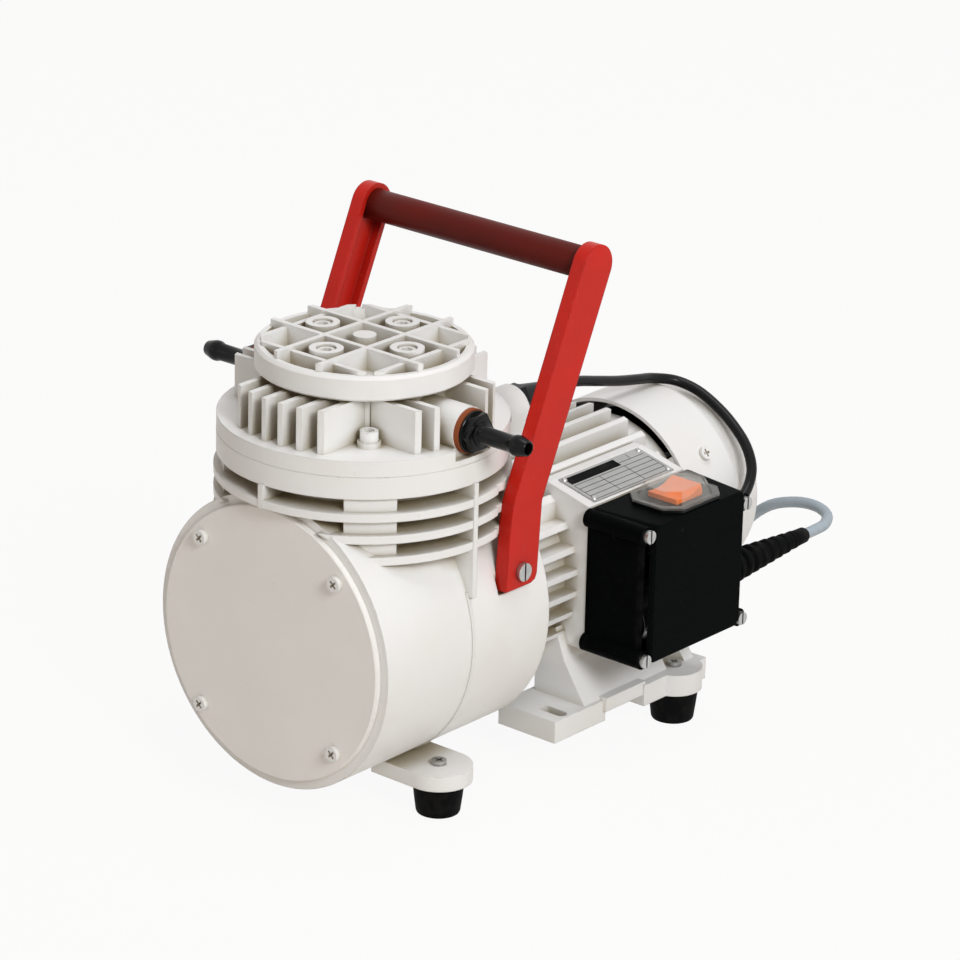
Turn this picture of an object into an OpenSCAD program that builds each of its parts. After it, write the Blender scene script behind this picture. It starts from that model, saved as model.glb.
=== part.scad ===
// Diaphragm vacuum pump with a built-on electric motor, in millimetres
// Before it is placed, the shaft runs along Y and crosses the upright neck at zero

/* [Crankcase] */
// Radius of the crankcase barrel
barrel_r = 70.6; // [68:0.1:74]
// Neck axis to the barrel's front face
barrel_front = 60; // [56:0.5:64]
// Neck axis to the barrel's rear face
barrel_rear = 52.7; // [50:0.1:56]
// Radius of the hollow inside the barrel
cavity_r = 60; // [57:0.5:62]
// Thickness of the barrel's rear wall
rear_wall = 12.7; // [10:0.1:15]
// Radius of the front plate
plate_r = 66; // [64.5:0.1:68]
// Thickness of the front plate
plate_t = 3; // [2:0.1:4]
// Distance of a front plate screw from the shaft axis
plate_screw_r = 58.9; // [57:0.1:60]

/* [Neck] */
// Shaft axis to the joint between crankcase and head
deck_z = 89.7; // [88:0.1:92]
// Radius of the neck behind its fins
neck_r = 54; // [52:0.5:57]
// Radius of the bore in the neck
neck_bore_r = 35; // [34:0.5:36]
// Radius of the neck's ring fins
fin_ring_r = 69; // [67:0.1:70]
// Thickness of a ring fin
fin_ring_t = 4; // [3:0.1:5]
// Height of the lowest ring fin
fin_ring_z = 47.8; // [46:0.1:49]
// Spacing of the ring fins
fin_ring_pitch = 10.4; // [9:0.1:11]
// Number of ring fins
fin_ring_count = 3; // [2:1:3]
// Radius of the neck's flange
flange_r = 67.8; // [66:0.1:69]
// Thickness of the neck's flange
flange_t = 10.5; // [9:0.1:12]

/* [Head] */
// Thickness of the head's base
base_t = 7.8; // [7:0.1:9]
// Radius of the head's base
base_r = 67.7; // [66:0.1:69]
// Outer radius of the chamber wall
chamber_r = 39; // [38:0.1:41]
// Thickness of the chamber wall
chamber_wall = 6; // [5:0.1:7]
// Height of the chamber wall above the base
chamber_h = 21; // [20:0.1:23]
// Radius out to which the plate fins reach
head_fin_r = 62; // [60:0.1:64]
// Thickness of a plate fin
head_fin_t = 3; // [2.4:0.1:3.6]
// Spacing of the plate fins at the front and back
head_fin_pitch = 10; // [9.5:0.1:10.4]
// Height of a fin's top below the collar
head_fin_drop = 1.5; // [1:0.1:3]
// Distance of a head screw from the neck axis
head_screw_r = 47; // [46:0.1:48.5]
// Outer radius of the lid's collar
collar_r = 50.5; // [49:0.1:52]
// Height of the lid's collar
collar_h = 11.6; // [10:0.1:13]
// Thickness of the lid's floor
lid_floor = 5; // [4:0.1:6]
// Height of the lid's ribs above the collar
lattice_rise = 3.4; // [2:0.1:5]
// Thickness of a lid rib
lattice_t = 2.8; // [2:0.1:3.4]
// Distance of a lid screw from the neck axis
lid_screw_r = 26; // [25:0.1:27]

/* [Hose nozzles] */
// Height of the nozzles above the head joint
nozzle_rise = 14.3; // [13:0.1:15]
// Width across the flats of a nozzle's hexagon
nozzle_af = 17; // [15:0.5:19]
// Radius of the tube that the hose goes over
nozzle_r = 4.15; // [3.6:0.05:4.6]
// Length of the plain tube behind the barb
nozzle_tube = 19; // [16:0.5:22]
// Radius of the air way through a nozzle
nozzle_bore_r = 2.6; // [2:0.1:3]
// Outer radius of a nozzle's seal ring
seal_r = 10.5; // [9.5:0.1:10.9]
// Thickness of a nozzle's seal ring
seal_t = 2.5; // [2:0.1:3]

/* [Handle] */
// How far a handle arm's outer face stands outside the barrel
arm_stand = 0.9; // [0.5:0.1:2]
// Depth of the arm's channel
arm_depth = 7; // [6:0.1:8]
// Thickness of the arm's web
arm_web = 2.5; // [2:0.1:3]
// Thickness of the arm's side flanges
arm_edge = 3; // [2.4:0.1:3.4]
// Width of the arm's lower leg
arm_w = 22; // [20:0.5:24]
// Lowest point of an arm above the shaft axis
arm_foot_z = 21; // [19:0.5:22]
// Height of the arm's bend
arm_bend_z = 58; // [54:1:62]
// How far the grip lies behind the neck axis
grip_y = 79.5; // [76:0.5:84]
// Height of the grip's centre
grip_z = 164.6; // [160:0.5:170]
// Radius of the grip
grip_r = 7.6; // [7:0.1:8.4]
// Radius of the arm's rounded top
arm_top_r = 10.4; // [9.5:0.1:11]

/* [Motor] */
// Front face of the motor frame
frame_y0 = 60; // [58:0.5:62]
// Rear face of the motor frame
frame_y1 = 180; // [176:0.5:184]
// Radius over the motor's fins
motor_r = 55; // [54:0.1:55.6]
// Radius of the motor frame between its fins
core_r = 47; // [46:0.1:48]
// Radius of the bore that holds the stator
stator_r = 40; // [39:0.1:40.5]
// Thickness of a motor fin
motor_fin_t = 3; // [2.4:0.1:3.4]
// Spacing of the motor fins
motor_fin_pitch = 11; // [10:0.1:11.5]
// How far the motor fins end short of the frame, which lets the fan's air in
fin_gap = 6; // [4:0.5:8]
// Radius of the bore in the stator
air_gap_r = 24; // [22:0.1:26]
// Length of the stator's core
stator_len = 54; // [44:1:64]
// Radius of the shaft in its bearings
journal_r = 7.5; // [7:0.1:8]
// Outer radius of a shaft bearing
bearing_r = 17.5; // [16:0.1:18.5]
// Width of a shaft bearing
bearing_w = 11; // [9:0.1:12]

/* [Fan cowl] */
// Front edge of the fan cowl
cowl_y0 = 182.5; // [182:0.1:184]
// Rear face of the fan cowl
cowl_y1 = 242; // [240:0.5:246]
// Radius of the cowl behind its step
cowl_rear_r = 50; // [49:0.1:51.5]
// Sheet thickness of the cowl
cowl_t = 1.8; // [1.2:0.1:2.2]
// Radius of the fan
fan_r = 46; // [42:0.5:47]
// Number of fan blades
fan_blades = 8; // [6:1:10]

/* [Terminal box] */
// Gap between the motor's fins and the terminal box
box_gap = 5.5; // [5:0.1:7]
// Depth of the terminal box
box_depth = 38; // [36:0.5:39]
// Front end of the terminal box
box_y0 = 91; // [89:0.5:92]
// Rear end of the terminal box
box_y1 = 168; // [167:0.5:170]
// Underside of the terminal box
box_z0 = -33; // [-36:0.5:-31]
// Top of the terminal box
box_z1 = 40; // [39:0.5:41]
// Wall thickness of the box cover
box_wall = 2.5; // [2:0.1:3]
// Thickness of the box's base plate
box_base_t = 3; // [2.5:0.1:4]

/* [Switch] */
// Width of the rocker
rocker_w = 18; // [16:0.5:19]
// Radius of the rocker's ends about its pin
rocker_r = 10; // [9:0.1:10.5]
// Angle that the rocker tips through
rocker_tip = 20; // [14:1:24]
// Width of the splash cover
cover_w = 32; // [30:0.5:33]
// Length of the splash cover
cover_l = 42; // [38:0.5:44]
// Height of the splash cover
cover_h = 8.5; // [7.5:0.1:10]

/* [Feet] */
// Shaft axis to the surface that the pump stands on
floor_drop = 87; // [86:0.5:90]
// Height of a rubber foot
foot_h = 16.5; // [15:0.1:17]
// Radius of a foot at its top
foot_top_r = 12.25; // [11:0.05:13.5]
// Radius of a foot at its bottom
foot_bottom_r = 10.5; // [9:0.1:12]
// Half the spacing of the front feet
front_foot_x = 52.8; // [51:0.1:55]
// How far the front feet lie behind the neck axis
front_foot_y = -3.3; // [-5:0.1:-1]
// Half the spacing of the rear feet
rear_foot_x = 64.4; // [62:0.1:66]
// How far the rear feet lie behind the neck axis
rear_foot_y = 158; // [155:0.5:160]
// Half the spacing of the slots in the motor's feet
slot_x = 57.5; // [56:0.1:58]
// Length of a slot
slot_l = 15; // [12:0.5:16]
// Width of a slot
slot_w = 6; // [5:0.1:7]

/* [Drive] */
// Offset of the eccentric
throw = 2; // [1.5:0.1:2.3]
// Radius of the eccentric's journal
crank_r = 12.5; // [12:0.1:13]
// Outer radius of the connecting rod's bearing
rod_bearing_r = 21; // [20:0.1:22]
// Width of the connecting rod's bearing
rod_bearing_w = 9; // [8:0.1:10]
// Radius of the diaphragm
diaphragm_r = 41; // [40:0.1:42]
// Thickness of the diaphragm's clamped rim
diaphragm_rim = 2.4; // [2:0.1:3]
// Thickness of the diaphragm's middle
diaphragm_t = 2.2; // [1.8:0.1:2.6]
// Radius of the disc on the diaphragm
disc_r = 23.5; // [22:0.1:24.5]
// Thickness of the disc on the diaphragm
disc_t = 3; // [2.8:0.1:3.6]

/* [Cords] */
// Radius of the lead from the motor to the box
lead_r = 2.65; // [2.4:0.05:2.8]
// Radius of the mains cord
cord_r = 2.8; // [2.6:0.05:3]
// Length of the strain relief
relief_l = 60; // [56:1:62]
// Radius of the cord coil at the middle of its turns
coil_r = 31; // [29:0.5:33]

/* [Fits] */
// Clearance of a fixed pin or screw in its hole
fit = 0.1; // [0.05:0.01:0.15]
// Clearance of a shaft that turns in its seat
run = 0.05; // [0.02:0.01:0.08]
// Gap between faces that move past each other
gap = 0.3; // [0.25:0.05:0.4]

/* [Hidden] */
$fn = 96;
e = 0.5;
screw_head_h = 3;
mid_y = (cowl_y1 - barrel_front - plate_t - screw_head_h) / 2;
foot_z = foot_h - floor_drop;

// Neck and head heights
flange_z = deck_z - flange_t;
base_z = deck_z + base_t;
chamber_z = base_z + chamber_h;
gasket_t = 1;
lid_z = chamber_z + gasket_t;
collar_z = lid_z + collar_h;
lattice_z = collar_z + lattice_rise;
nozzle_z = deck_z + nozzle_rise;
boss_end = head_fin_r + 1.5;
nozzle_root_r = 6.5;
boss_r = 11;
hex_t = 5;
hex_x = boss_end + seal_t;
tube_x = hex_x + hex_t;
barb_x = tube_x + nozzle_tube;
tip_x = barb_x + 9;
head_boss_z = base_z + 2.5;
head_angle = 45;

// Heights along the drive at the bottom of the stroke
dish_depth = 1.8;
disc_top = deck_z + dish_depth - e - 2 * throw;
disc_z = disc_top - disc_t;
seat_z = disc_z - diaphragm_t;
rod_flange_t = 3;
rod_flange_r = disc_r - 1.5;
m4 = 2;
m5 = 2.5;
m6 = 3;
m5_head_r = 4.25;
m5_head_h = 5;
valve_x = 14;
valve_y = 13;
valve_r = 9;
valve_t = 1.2;
valve_stem_r = 2;
valve_pocket = 1.7;
bulb_h = 3;
crank_front = -rod_bearing_w / 2 - gap;
crank_back = rod_bearing_w / 2 + gap;
hub_back = crank_back + 15;
weight_t = 10;
washer_t = 1.5;
shaft_nose_r = journal_r - 0.5;
front_bearing_y = barrel_rear + 2.3;
rear_bearing_y = frame_y1 - bearing_w - 1;
shaft_end = 213;
stator_y = (frame_y0 + frame_y1 - stator_len) / 2;
tie_r = (stator_r + core_r) / 2;
flange_screw_r = 33;
cowl_lug_y = 202;
shield_t = 3.5;
lug_w = 10;
cowl_lug_a = 37;
cowl_step_y = 218;

// Handle
arm_x = barrel_r + arm_stand;
arm_y0 = 30.7;
arm_bend_y = 33;
arm_hole_z = 28.7;
arm_foot_r = 4;
seat_x = arm_x - arm_depth;
arm_boss_r = arm_hole_z - arm_foot_z - arm_edge - fit;

// Motor feet and terminal pad
box_x0 = motor_r + box_gap;
box_x1 = box_x0 + box_depth;
pad_y0 = box_y0 + 1.6;
pad_y1 = box_y1 - 4;
pad_x0 = 30;
pad_rise = 6;
rail_h = 11;
rail_y0 = 64;
rail_y1 = 176;
slot_y = 74;
plate_slope = atan(pad_rise / (box_x0 - 35));
turret_y0 = 80;
turret_y1 = 106;
label_w = 23;
label_l = 60;

// The lead's route was chosen round a motor of this radius, and grows with it
lead_motor_r = 55;
lead_k = motor_r / lead_motor_r;
gland_z = 75 * lead_k;
gland_l = 22;

// Switch
switch_x = box_x0 + 21;
switch_y = 131;
bezel_t = 1.5;
rocker_z = box_z1 + bezel_t + 0.5;
switch_deep = 20;
cover_cut = 7;

// Cord ends and routes, with points chosen by hand
relief_x = box_x0 + 27.5;
relief_z = -4.6;
lead_x = box_x0 + 14.5;
lead_z = 10;
lead_route = [
    [0, 140, 74.5],
    [0, 156, 72],
    [0, 172, 68],
    [0, 188, 64],
    [0, 203, 61],
    [0, 215, 58.6],
    [6, 226, 56],
    [17, 230, 52.5],
    [29, 231, 46.5],
    [40, 230, 40],
    [50, 228, 32],
    [57, 224, 23],
    [60.5, 216, 15],
    [62.5, 204, 10],
    [65.5, 194, 8.5],
    [70, 186, 8.8],
    [74, 180.5, 9.7]
];
lead_points = [
    [0, turret_y1 + gland_l - 6, gland_z],
    for (p = lead_route) [p[0] * lead_k, p[1], p[2] * lead_k],
    [lead_x, 176, lead_z],
    [lead_x, box_y1 - 2, lead_z]
];
cord_points = [
    [relief_x, box_y1 + relief_l, relief_z],
    [relief_x, 236, relief_z],
    [87, 246, -4.5],
    [81, 256, -4],
    [70, 262, -4],
    [56, 264, -6],
    [40, 264, -12],
    [26, 264, -24],
    [16, 263, -40],
    [8, 262, -58],
    [-2, 261, -73],
    [-16, 260, -82],
    [-32, 259.5, -84.2],
    [-48, 257.5, -84.2],
    [-63, 254.4, -84.2],
    [-78, 250.7, -84.2],
    [-97, 245.3, -84.2]
];
coil_c = [-108, 200];
coil_h = 4 * cord_r;
coil_w = 9.4 * cord_r;
tail_l = 12;
plug_l = 38;
plug_w = 24;
plug_h = 15;
plug_c = [-111, 133.3];
plug_turn = -54;
pin_l = 19;
pin_spacing = 19;
pin_r = 2.4;

white = [0.93, 0.92, 0.89];
plate_grey = [0.78, 0.75, 0.72];
steel = [0.72, 0.73, 0.74];
dark_steel = [0.45, 0.46, 0.47];
alloy = [0.8, 0.8, 0.8];
red = [0.74, 0.13, 0.1];
dark_red = [0.36, 0.1, 0.08];
black = [0.07, 0.07, 0.07];
rubber = [0.1, 0.1, 0.1];
orange = [0.92, 0.42, 0.12];
copper = [0.72, 0.4, 0.2];

// Moves a piece to the part's own frame, centred over the surface it stands on
module placed() {
    translate([0, -mid_y, floor_drop]) children();
}

// A cylinder along Y from one place to another
module rod_y(r, y0, y1) {
    translate([0, y0, 0]) rotate([-90, 0, 0]) cylinder(r = r, h = y1 - y0);
}

// A cylinder along X from one place to another
module rod_x(r, x0, x1) {
    translate([x0, 0, 0]) rotate([0, 90, 0]) cylinder(r = r, h = x1 - x0);
}

// A profile of radius against place along Y, turned about the shaft
module turned_y() {
    rotate([-90, 0, 0]) rotate_extrude() children();
}

// A flat outline of x and z, drawn out along Y
module drawn_y(y0, y1) {
    translate([0, y1, 0]) rotate([90, 0, 0]) linear_extrude(y1 - y0) children();
}

// A flat outline of y and z, drawn out along X
module drawn_x(x0, x1) {
    translate([x0, 0, 0]) rotate([90, 0, 90]) linear_extrude(x1 - x0) children();
}

// Copies on the four diagonals round Z or round Y
module on_diagonals_z(r) {
    for (a = [45:90:315]) rotate([0, 0, a]) translate([r, 0, 0]) children();
}

module on_diagonals_y(r) {
    for (a = [45:90:315]) rotate([0, a, 0]) translate([r, 0, 0]) children();
}

// The same piece on the near and the far side
module both_sides() {
    for (s = [0, 1]) mirror([s, 0, 0]) children();
}

// Screw along +Z with its head above zero and a cross or slot in it
module screw(r, l, head_r, head_h, drive = "slot") {
    difference() {
        union() {
            translate([0, 0, -l]) cylinder(r = r, h = l, $fn = 32);
            cylinder(r = head_r, h = head_h, $fn = 48);
        }
        if (drive == "slot") {
            translate([-head_r - e, -0.5, head_h * 0.55]) cube([2 * head_r + 2 * e, 1, head_h]);
        }
        if (drive == "cross") {
            for (a = [0, 90]) {
                rotate([0, 0, a]) translate([-head_r * 0.6, -0.5, head_h * 0.45])
                    cube([head_r * 1.2, 1, head_h]);
            }
        }
        if (drive == "hex") {
            translate([0, 0, head_h * 0.45]) cylinder(r = head_r * 0.62, h = head_h, $fn = 6);
        }
    }
}

// Points on a smooth curve through the given ones
function curve(p, n) = [
    for (i = [0:len(p) - 2], k = [0:n - 1])
        let (
            a = p[max(i - 1, 0)],
            b = p[i],
            c = p[i + 1],
            d = p[min(i + 2, len(p) - 1)],
            t = k / n
        )
        0.5 * (2 * b + (c - a) * t + (2 * a - 5 * b + 4 * c - d) * t ^ 2
            + (3 * b - a - 3 * c + d) * t ^ 3),
    p[len(p) - 1]
];

function unit(v) = v / norm(v);
function heading(p, i) = unit(p[min(i + 1, len(p) - 1)] - p[max(i - 1, 0)]);
function square_to(v, t) = unit(v - (v * t) * t);

// One direction across the curve for each point, turned as little as possible
function across(p, start) = [
    for (i = 0, v = square_to(start, heading(p, 0)); i < len(p);
        i = i + 1, v = square_to(v, heading(p, min(i, len(p) - 1)))) v
];

// A round tube along a curve
module tube(p, r, sides, start) {
    v = across(p, start);
    rings = [
        for (i = [0:len(p) - 1], k = [0:sides - 1])
            p[i] + r * (cos(360 * k / sides) * v[i]
                + sin(360 * k / sides) * cross(heading(p, i), v[i]))
    ];
    last = (len(p) - 1) * sides;
    walls = [
        for (i = [0:len(p) - 2], k = [0:sides - 1])
            [i * sides + k, (i + 1) * sides + k, (i + 1) * sides + (k + 1) % sides,
                i * sides + (k + 1) % sides]
    ];
    ends = [
        [for (k = [0:sides - 1]) k],
        [for (k = [sides - 1:-1:0]) last + k]
    ];
    polyhedron(points = rings, faces = concat(walls, ends));
}

// CRANKCASE AND ITS PLATE

module ring_fins() {
    for (i = [0:fin_ring_count - 1]) {
        translate([0, 0, fin_ring_z + i * fin_ring_pitch]) cylinder(r = fin_ring_r, h = fin_ring_t);
    }
}

// Solid columns round the head screws, between the fins
module screw_columns() {
    intersection() {
        cylinder(r = flange_r - 2.3, h = deck_z);
        on_diagonals_z(0) translate([neck_r - 8, -12, fin_ring_z])
            cube([30, 24, flange_z - fin_ring_z + e]);
    }
}

// Thin upright ribs at the front, back and sides of the neck
module upright_ribs() {
    rib_t = 3;
    rib_z = 24;
    for (a = [0:90:270]) {
        rotate([0, 0, a]) translate([neck_r - 2, -rib_t / 2, rib_z])
            cube([fin_ring_r - neck_r + 2.3, rib_t, flange_z - rib_z + e]);
    }
}

module front_ear() {
    ear_r = 16;
    ear_t = 7.5;
    ear_x = 25;
    translate([front_foot_x, front_foot_y, foot_z]) cylinder(r = ear_r, h = ear_t);
    translate([ear_x, front_foot_y - ear_r, foot_z]) cube([front_foot_x - ear_x, 2 * ear_r, ear_t]);
}

// The space an arm of the handle and its screw boss take from the casting
module arm_seat_cut() {
    translate([seat_x, arm_y0 - arm_w / 2 - 1, arm_foot_z - 2])
        cube([20, arm_w + 2, flange_z - arm_foot_z]);
}

module crankcase() {
    color(white) placed() difference() {
        union() {
            difference() {
                union() {
                    rod_y(barrel_r, -barrel_front, barrel_rear);
                    cylinder(r = neck_r, h = deck_z);
                    ring_fins();
                    screw_columns();
                    upright_ribs();
                    translate([0, 0, flange_z]) cylinder(r = flange_r, h = flange_t);
                    both_sides() front_ear();
                    intersection() {
                        rod_y(barrel_r + 0.6, -2.4, -1);
                        translate([-100, -50, -100]) cube([200, 100, 126]);
                    }
                }
                rod_y(cavity_r, -barrel_front - e, barrel_rear - rear_wall);
                cylinder(r = neck_bore_r, h = deck_z + e);
                both_sides() arm_seat_cut();
            }
            on_diagonals_y(plate_screw_r) rod_y(6, -barrel_front, -30);
            both_sides() translate([0, arm_y0, arm_hole_z]) rod_x(arm_boss_r, seat_x - 12, arm_x - arm_web);
        }
        rod_y(plate_r + 2.4, -barrel_front - 20, -barrel_front);
        rod_y(motor_r + 1.5, barrel_rear, barrel_rear + 30);
        translate([0, 0, deck_z - diaphragm_rim]) cylinder(r = diaphragm_r + fit, h = 10);
        on_diagonals_z(head_screw_r) translate([0, 0, deck_z - 22])
            cylinder(r = m5 + fit, h = 30, $fn = 32);
        on_diagonals_y(plate_screw_r) rod_y(m4 + fit, -barrel_front - e, -barrel_front + 14);
        rod_y(26, barrel_rear - rear_wall - e, barrel_rear + e);
        on_diagonals_y(flange_screw_r) rod_y(m5 + fit, barrel_rear - rear_wall - e, barrel_rear + e);
        both_sides() translate([0, arm_y0, arm_hole_z]) rod_x(m5 + fit, seat_x - 9, arm_x);
        both_sides() translate([front_foot_x, front_foot_y, foot_z - e])
            cylinder(r = m4 + fit, h = 9, $fn = 32);
    }
}

module front_plate() {
    color(plate_grey) placed() difference() {
        turned_y() polygon([
            [0, -barrel_front],
            [plate_r, -barrel_front],
            [plate_r, -barrel_front - plate_t + 0.6],
            [plate_r - 0.6, -barrel_front - plate_t],
            [0, -barrel_front - plate_t]
        ]);
        on_diagonals_y(plate_screw_r) rod_y(m4 + fit, -barrel_front - 10, -barrel_front + e);
    }
}

module front_plate_screws() {
    color(white) placed() on_diagonals_y(plate_screw_r) translate([0, -barrel_front - plate_t, 0])
        rotate([90, 0, 0]) screw(m4, plate_t + 12, 3.65, screw_head_h, "cross");
}

// PUMPING DRIVE

module diaphragm() {
    rim_z = deck_z - diaphragm_rim;
    color(rubber) placed() rotate_extrude() polygon([
        [m6 + fit, seat_z],
        [disc_r + 1.5, seat_z],
        [disc_r + 5.5, seat_z + 1.4],
        [neck_bore_r - 1.5, rim_z],
        [diaphragm_r, rim_z],
        [diaphragm_r, deck_z],
        [neck_bore_r - 2, deck_z],
        [disc_r + 4.5, disc_z + 1.6],
        [disc_r + 1.1, disc_z],
        [m6 + fit, disc_z]
    ]);
}

module diaphragm_disc() {
    color(alloy) placed() difference() {
        translate([0, 0, disc_z]) cylinder(r = disc_r, h = disc_t);
        translate([0, 0, disc_z - e]) cylinder(r = m6 + fit, h = 10);
        translate([0, 0, disc_top - 2.6]) cylinder(r1 = m6 + fit, r2 = 6 + fit, h = 2.6 + 0.01);
    }
}

module diaphragm_screw() {
    color(steel) placed() difference() {
        union() {
            translate([0, 0, disc_top - 20]) cylinder(r = m6, h = 18, $fn = 32);
            translate([0, 0, disc_top - 2.6]) cylinder(r1 = m6, r2 = 6, h = 2.6);
        }
        translate([0, 0, disc_top - 2]) cylinder(r = 2.3, h = 5, $fn = 6);
    }
}

module connecting_rod() {
    eye_r = rod_bearing_r + 5;
    half_w = rod_bearing_w / 2 + 1;
    color(alloy) placed() difference() {
        union() {
            translate([0, 0, -throw]) rod_y(eye_r, -half_w, half_w);
            translate([-9, -half_w, rod_bearing_r])
                cube([18, 2 * half_w, seat_z - rod_flange_t - rod_bearing_r]);
            translate([0, 0, seat_z - rod_flange_t]) cylinder(r = rod_flange_r, h = rod_flange_t);
            translate([0, 0, seat_z - rod_flange_t - 14]) cylinder(r = 8.5, h = 14 + e);
        }
        translate([0, 0, -throw]) rod_y(rod_bearing_r + run, -half_w - e, half_w + e);
        translate([0, 0, disc_top - 21]) cylinder(r = m6 + fit, h = 30, $fn = 32);
    }
}

// Two rings with balls between them
module ball_bearing(inner, outer, w, balls) {
    mid = (inner + outer) / 2;
    ball_r = (outer - inner) * 0.27;
    ring_t = (outer - inner) * 0.3;
    for (r = [[inner, inner + ring_t], [outer - ring_t, outer]]) {
        rotate([-90, 0, 0]) rotate_extrude() difference() {
            translate([r[0], -w / 2]) square([r[1] - r[0], w]);
            translate([mid, 0]) circle(r = ball_r + run, $fn = 32);
        }
    }
    for (i = [0:balls - 1]) {
        rotate([0, 360 * i / balls, 0]) translate([mid, 0, 0]) sphere(r = ball_r, $fn = 24);
    }
}

module rod_bearing() {
    color(steel) placed() translate([0, 0, -throw])
        ball_bearing(crank_r + run, rod_bearing_r, rod_bearing_w, 11);
}

module eccentric() {
    color(dark_steel) placed() difference() {
        union() {
            translate([0, 0, -throw]) rod_y(crank_r, crank_front, crank_back);
            rod_y(16, crank_back, hub_back);
        }
        rod_y(shaft_nose_r + run, crank_front - e, hub_back + e);
    }
}

module eccentric_washer() {
    color(steel) placed() difference() {
        rod_y(16, crank_front - washer_t, crank_front);
        rod_y(m6 + fit, crank_front - washer_t - e, crank_front + e);
    }
}

module eccentric_screw() {
    color(dark_steel) placed() translate([0, crank_front - washer_t, 0]) rotate([90, 0, 0])
        screw(m6, 18, 5, 6, "hex");
}

module counterweight() {
    weight_r = 42;
    color(dark_steel) placed() difference() {
        union() {
            rod_y(16, hub_back, hub_back + weight_t);
            intersection() {
                rod_y(weight_r, hub_back, hub_back + weight_t);
                drawn_y(hub_back, hub_back + weight_t) polygon([
                    [-8, 0],
                    [8, 0],
                    [weight_r, 24],
                    [weight_r, 60],
                    [-weight_r, 60],
                    [-weight_r, 24]
                ]);
            }
        }
        rod_y(shaft_nose_r + run, hub_back - e, hub_back + weight_t + e);
    }
}

module shaft_spacer() {
    color(steel) placed() difference() {
        rod_y(10, hub_back + weight_t, front_bearing_y - gap);
        rod_y(shaft_nose_r + run, hub_back, front_bearing_y);
    }
}

// HEAD

// Plate fins on one side of the head, standing along Y
module side_fins(places) {
    for (x = places) {
        translate([x - head_fin_t / 2, -head_fin_r, deck_z + 1])
            cube([head_fin_t, head_fin_r - chamber_r + 10, lid_z - head_fin_drop - deck_z - 1]);
    }
}

module head_fins() {
    across_x = [for (i = [-2.5:1:2.5]) i * head_fin_pitch];
    beside_nozzle = [for (s = [-1, 1], i = [1.7, 2.6]) s * i * head_fin_pitch];
    intersection() {
        difference() {
            cylinder(r = head_fin_r, h = lid_z);
            cylinder(r = chamber_r - 1, h = lid_z + e);
        }
        union() {
            for (a = [0, 180]) {
                rotate([0, 0, a]) side_fins(across_x);
                rotate([0, 0, a + 90]) side_fins(beside_nozzle);
            }
        }
    }
}

module lid_screw_places() {
    for (a = [0:90:270]) rotate([0, 0, a]) translate([lid_screw_r, 0, 0]) children();
}

module port_ring(x) {
    translate([x, valve_y, deck_z - e]) {
        cylinder(r = valve_stem_r + run, h = 20, $fn = 32);
        for (a = [0:60:300]) rotate([0, 0, a]) translate([5, 0, 0]) cylinder(r = 1.4, h = 20, $fn = 24);
    }
}

// Flat face that a nozzle's seal lies on, cut into the boss and the edge of the base
module nozzle_seat_cut() {
    half = boss_r + 1;
    translate([boss_end, -half, nozzle_z - seal_r - 0.8]) cube([base_r - boss_end + 1, 2 * half, 2 * half]);
}

module head_body() {
    inner_r = chamber_r - chamber_wall;
    color(white) placed() difference() {
        union() {
            translate([0, 0, deck_z]) cylinder(r = base_r, h = base_t);
            difference() {
                translate([0, 0, deck_z]) cylinder(r = chamber_r, h = chamber_z - deck_z);
                translate([0, 0, base_z]) cylinder(r = inner_r, h = chamber_h + e);
            }
            translate([-1.25, -inner_r - 1, base_z - 1]) cube([2.5, 2 * inner_r + 2, chamber_h + 1]);
            lid_screw_places() translate([0, 0, base_z - 1]) cylinder(r = 5, h = chamber_h + 1);
            on_diagonals_z(head_screw_r) translate([0, 0, base_z - 1])
                cylinder(r = m5_head_r + 1.25, h = head_boss_z - base_z + 1);
            head_fins();
            both_sides() translate([0, 0, nozzle_z]) rod_x(boss_r, chamber_r - 2, boss_end + e);
        }
        translate([0, 0, deck_z - e]) cylinder(r = neck_bore_r - 1.5, h = dish_depth + e);
        translate([-valve_x, valve_y, deck_z]) cylinder(r = valve_r + 1, h = dish_depth + valve_pocket);
        translate([valve_x, valve_y, deck_z]) cylinder(r = 3.6, h = dish_depth + bulb_h, $fn = 32);
        for (x = [-valve_x, valve_x]) port_ring(x);
        on_diagonals_z(head_screw_r) translate([0, 0, deck_z - e])
            cylinder(r = m5 + fit, h = 30, $fn = 32);
        lid_screw_places() translate([0, 0, chamber_z - 16]) cylinder(r = m5 + fit, h = 20, $fn = 32);
        both_sides() translate([0, 0, nozzle_z]) rod_x(nozzle_root_r + fit, inner_r - e, boss_end + e);
        both_sides() nozzle_seat_cut();
    }
}

module head_screws() {
    color(steel) placed() on_diagonals_z(head_screw_r) translate([0, 0, head_boss_z])
        screw(m5, head_boss_z - deck_z + 20, m5_head_r, m5_head_h, "hex");
}

// A rubber disc on a stem that snaps through the head's floor
module snap_valve(stem) {
    rotate_extrude() polygon([
        [0, 0],
        [valve_r, 0],
        [valve_r, valve_t * 0.6],
        [3, valve_t],
        [0, valve_t]
    ]);
    translate([0, 0, -stem - 1]) cylinder(r = valve_stem_r, h = stem + 1 + e, $fn = 32);
    translate([0, 0, -stem - 2.4]) cylinder(r1 = 1.2, r2 = 3, h = 2.4, $fn = 32);
}

module outlet_valve() {
    color(rubber) placed() translate([valve_x, valve_y, base_z]) snap_valve(base_t - dish_depth - bulb_h);
}

module inlet_valve() {
    floor_z = deck_z + dish_depth + valve_pocket;
    color(rubber) placed() translate([-valve_x, valve_y, floor_z]) mirror([0, 0, 1])
        snap_valve(base_z - floor_z);
}

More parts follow.
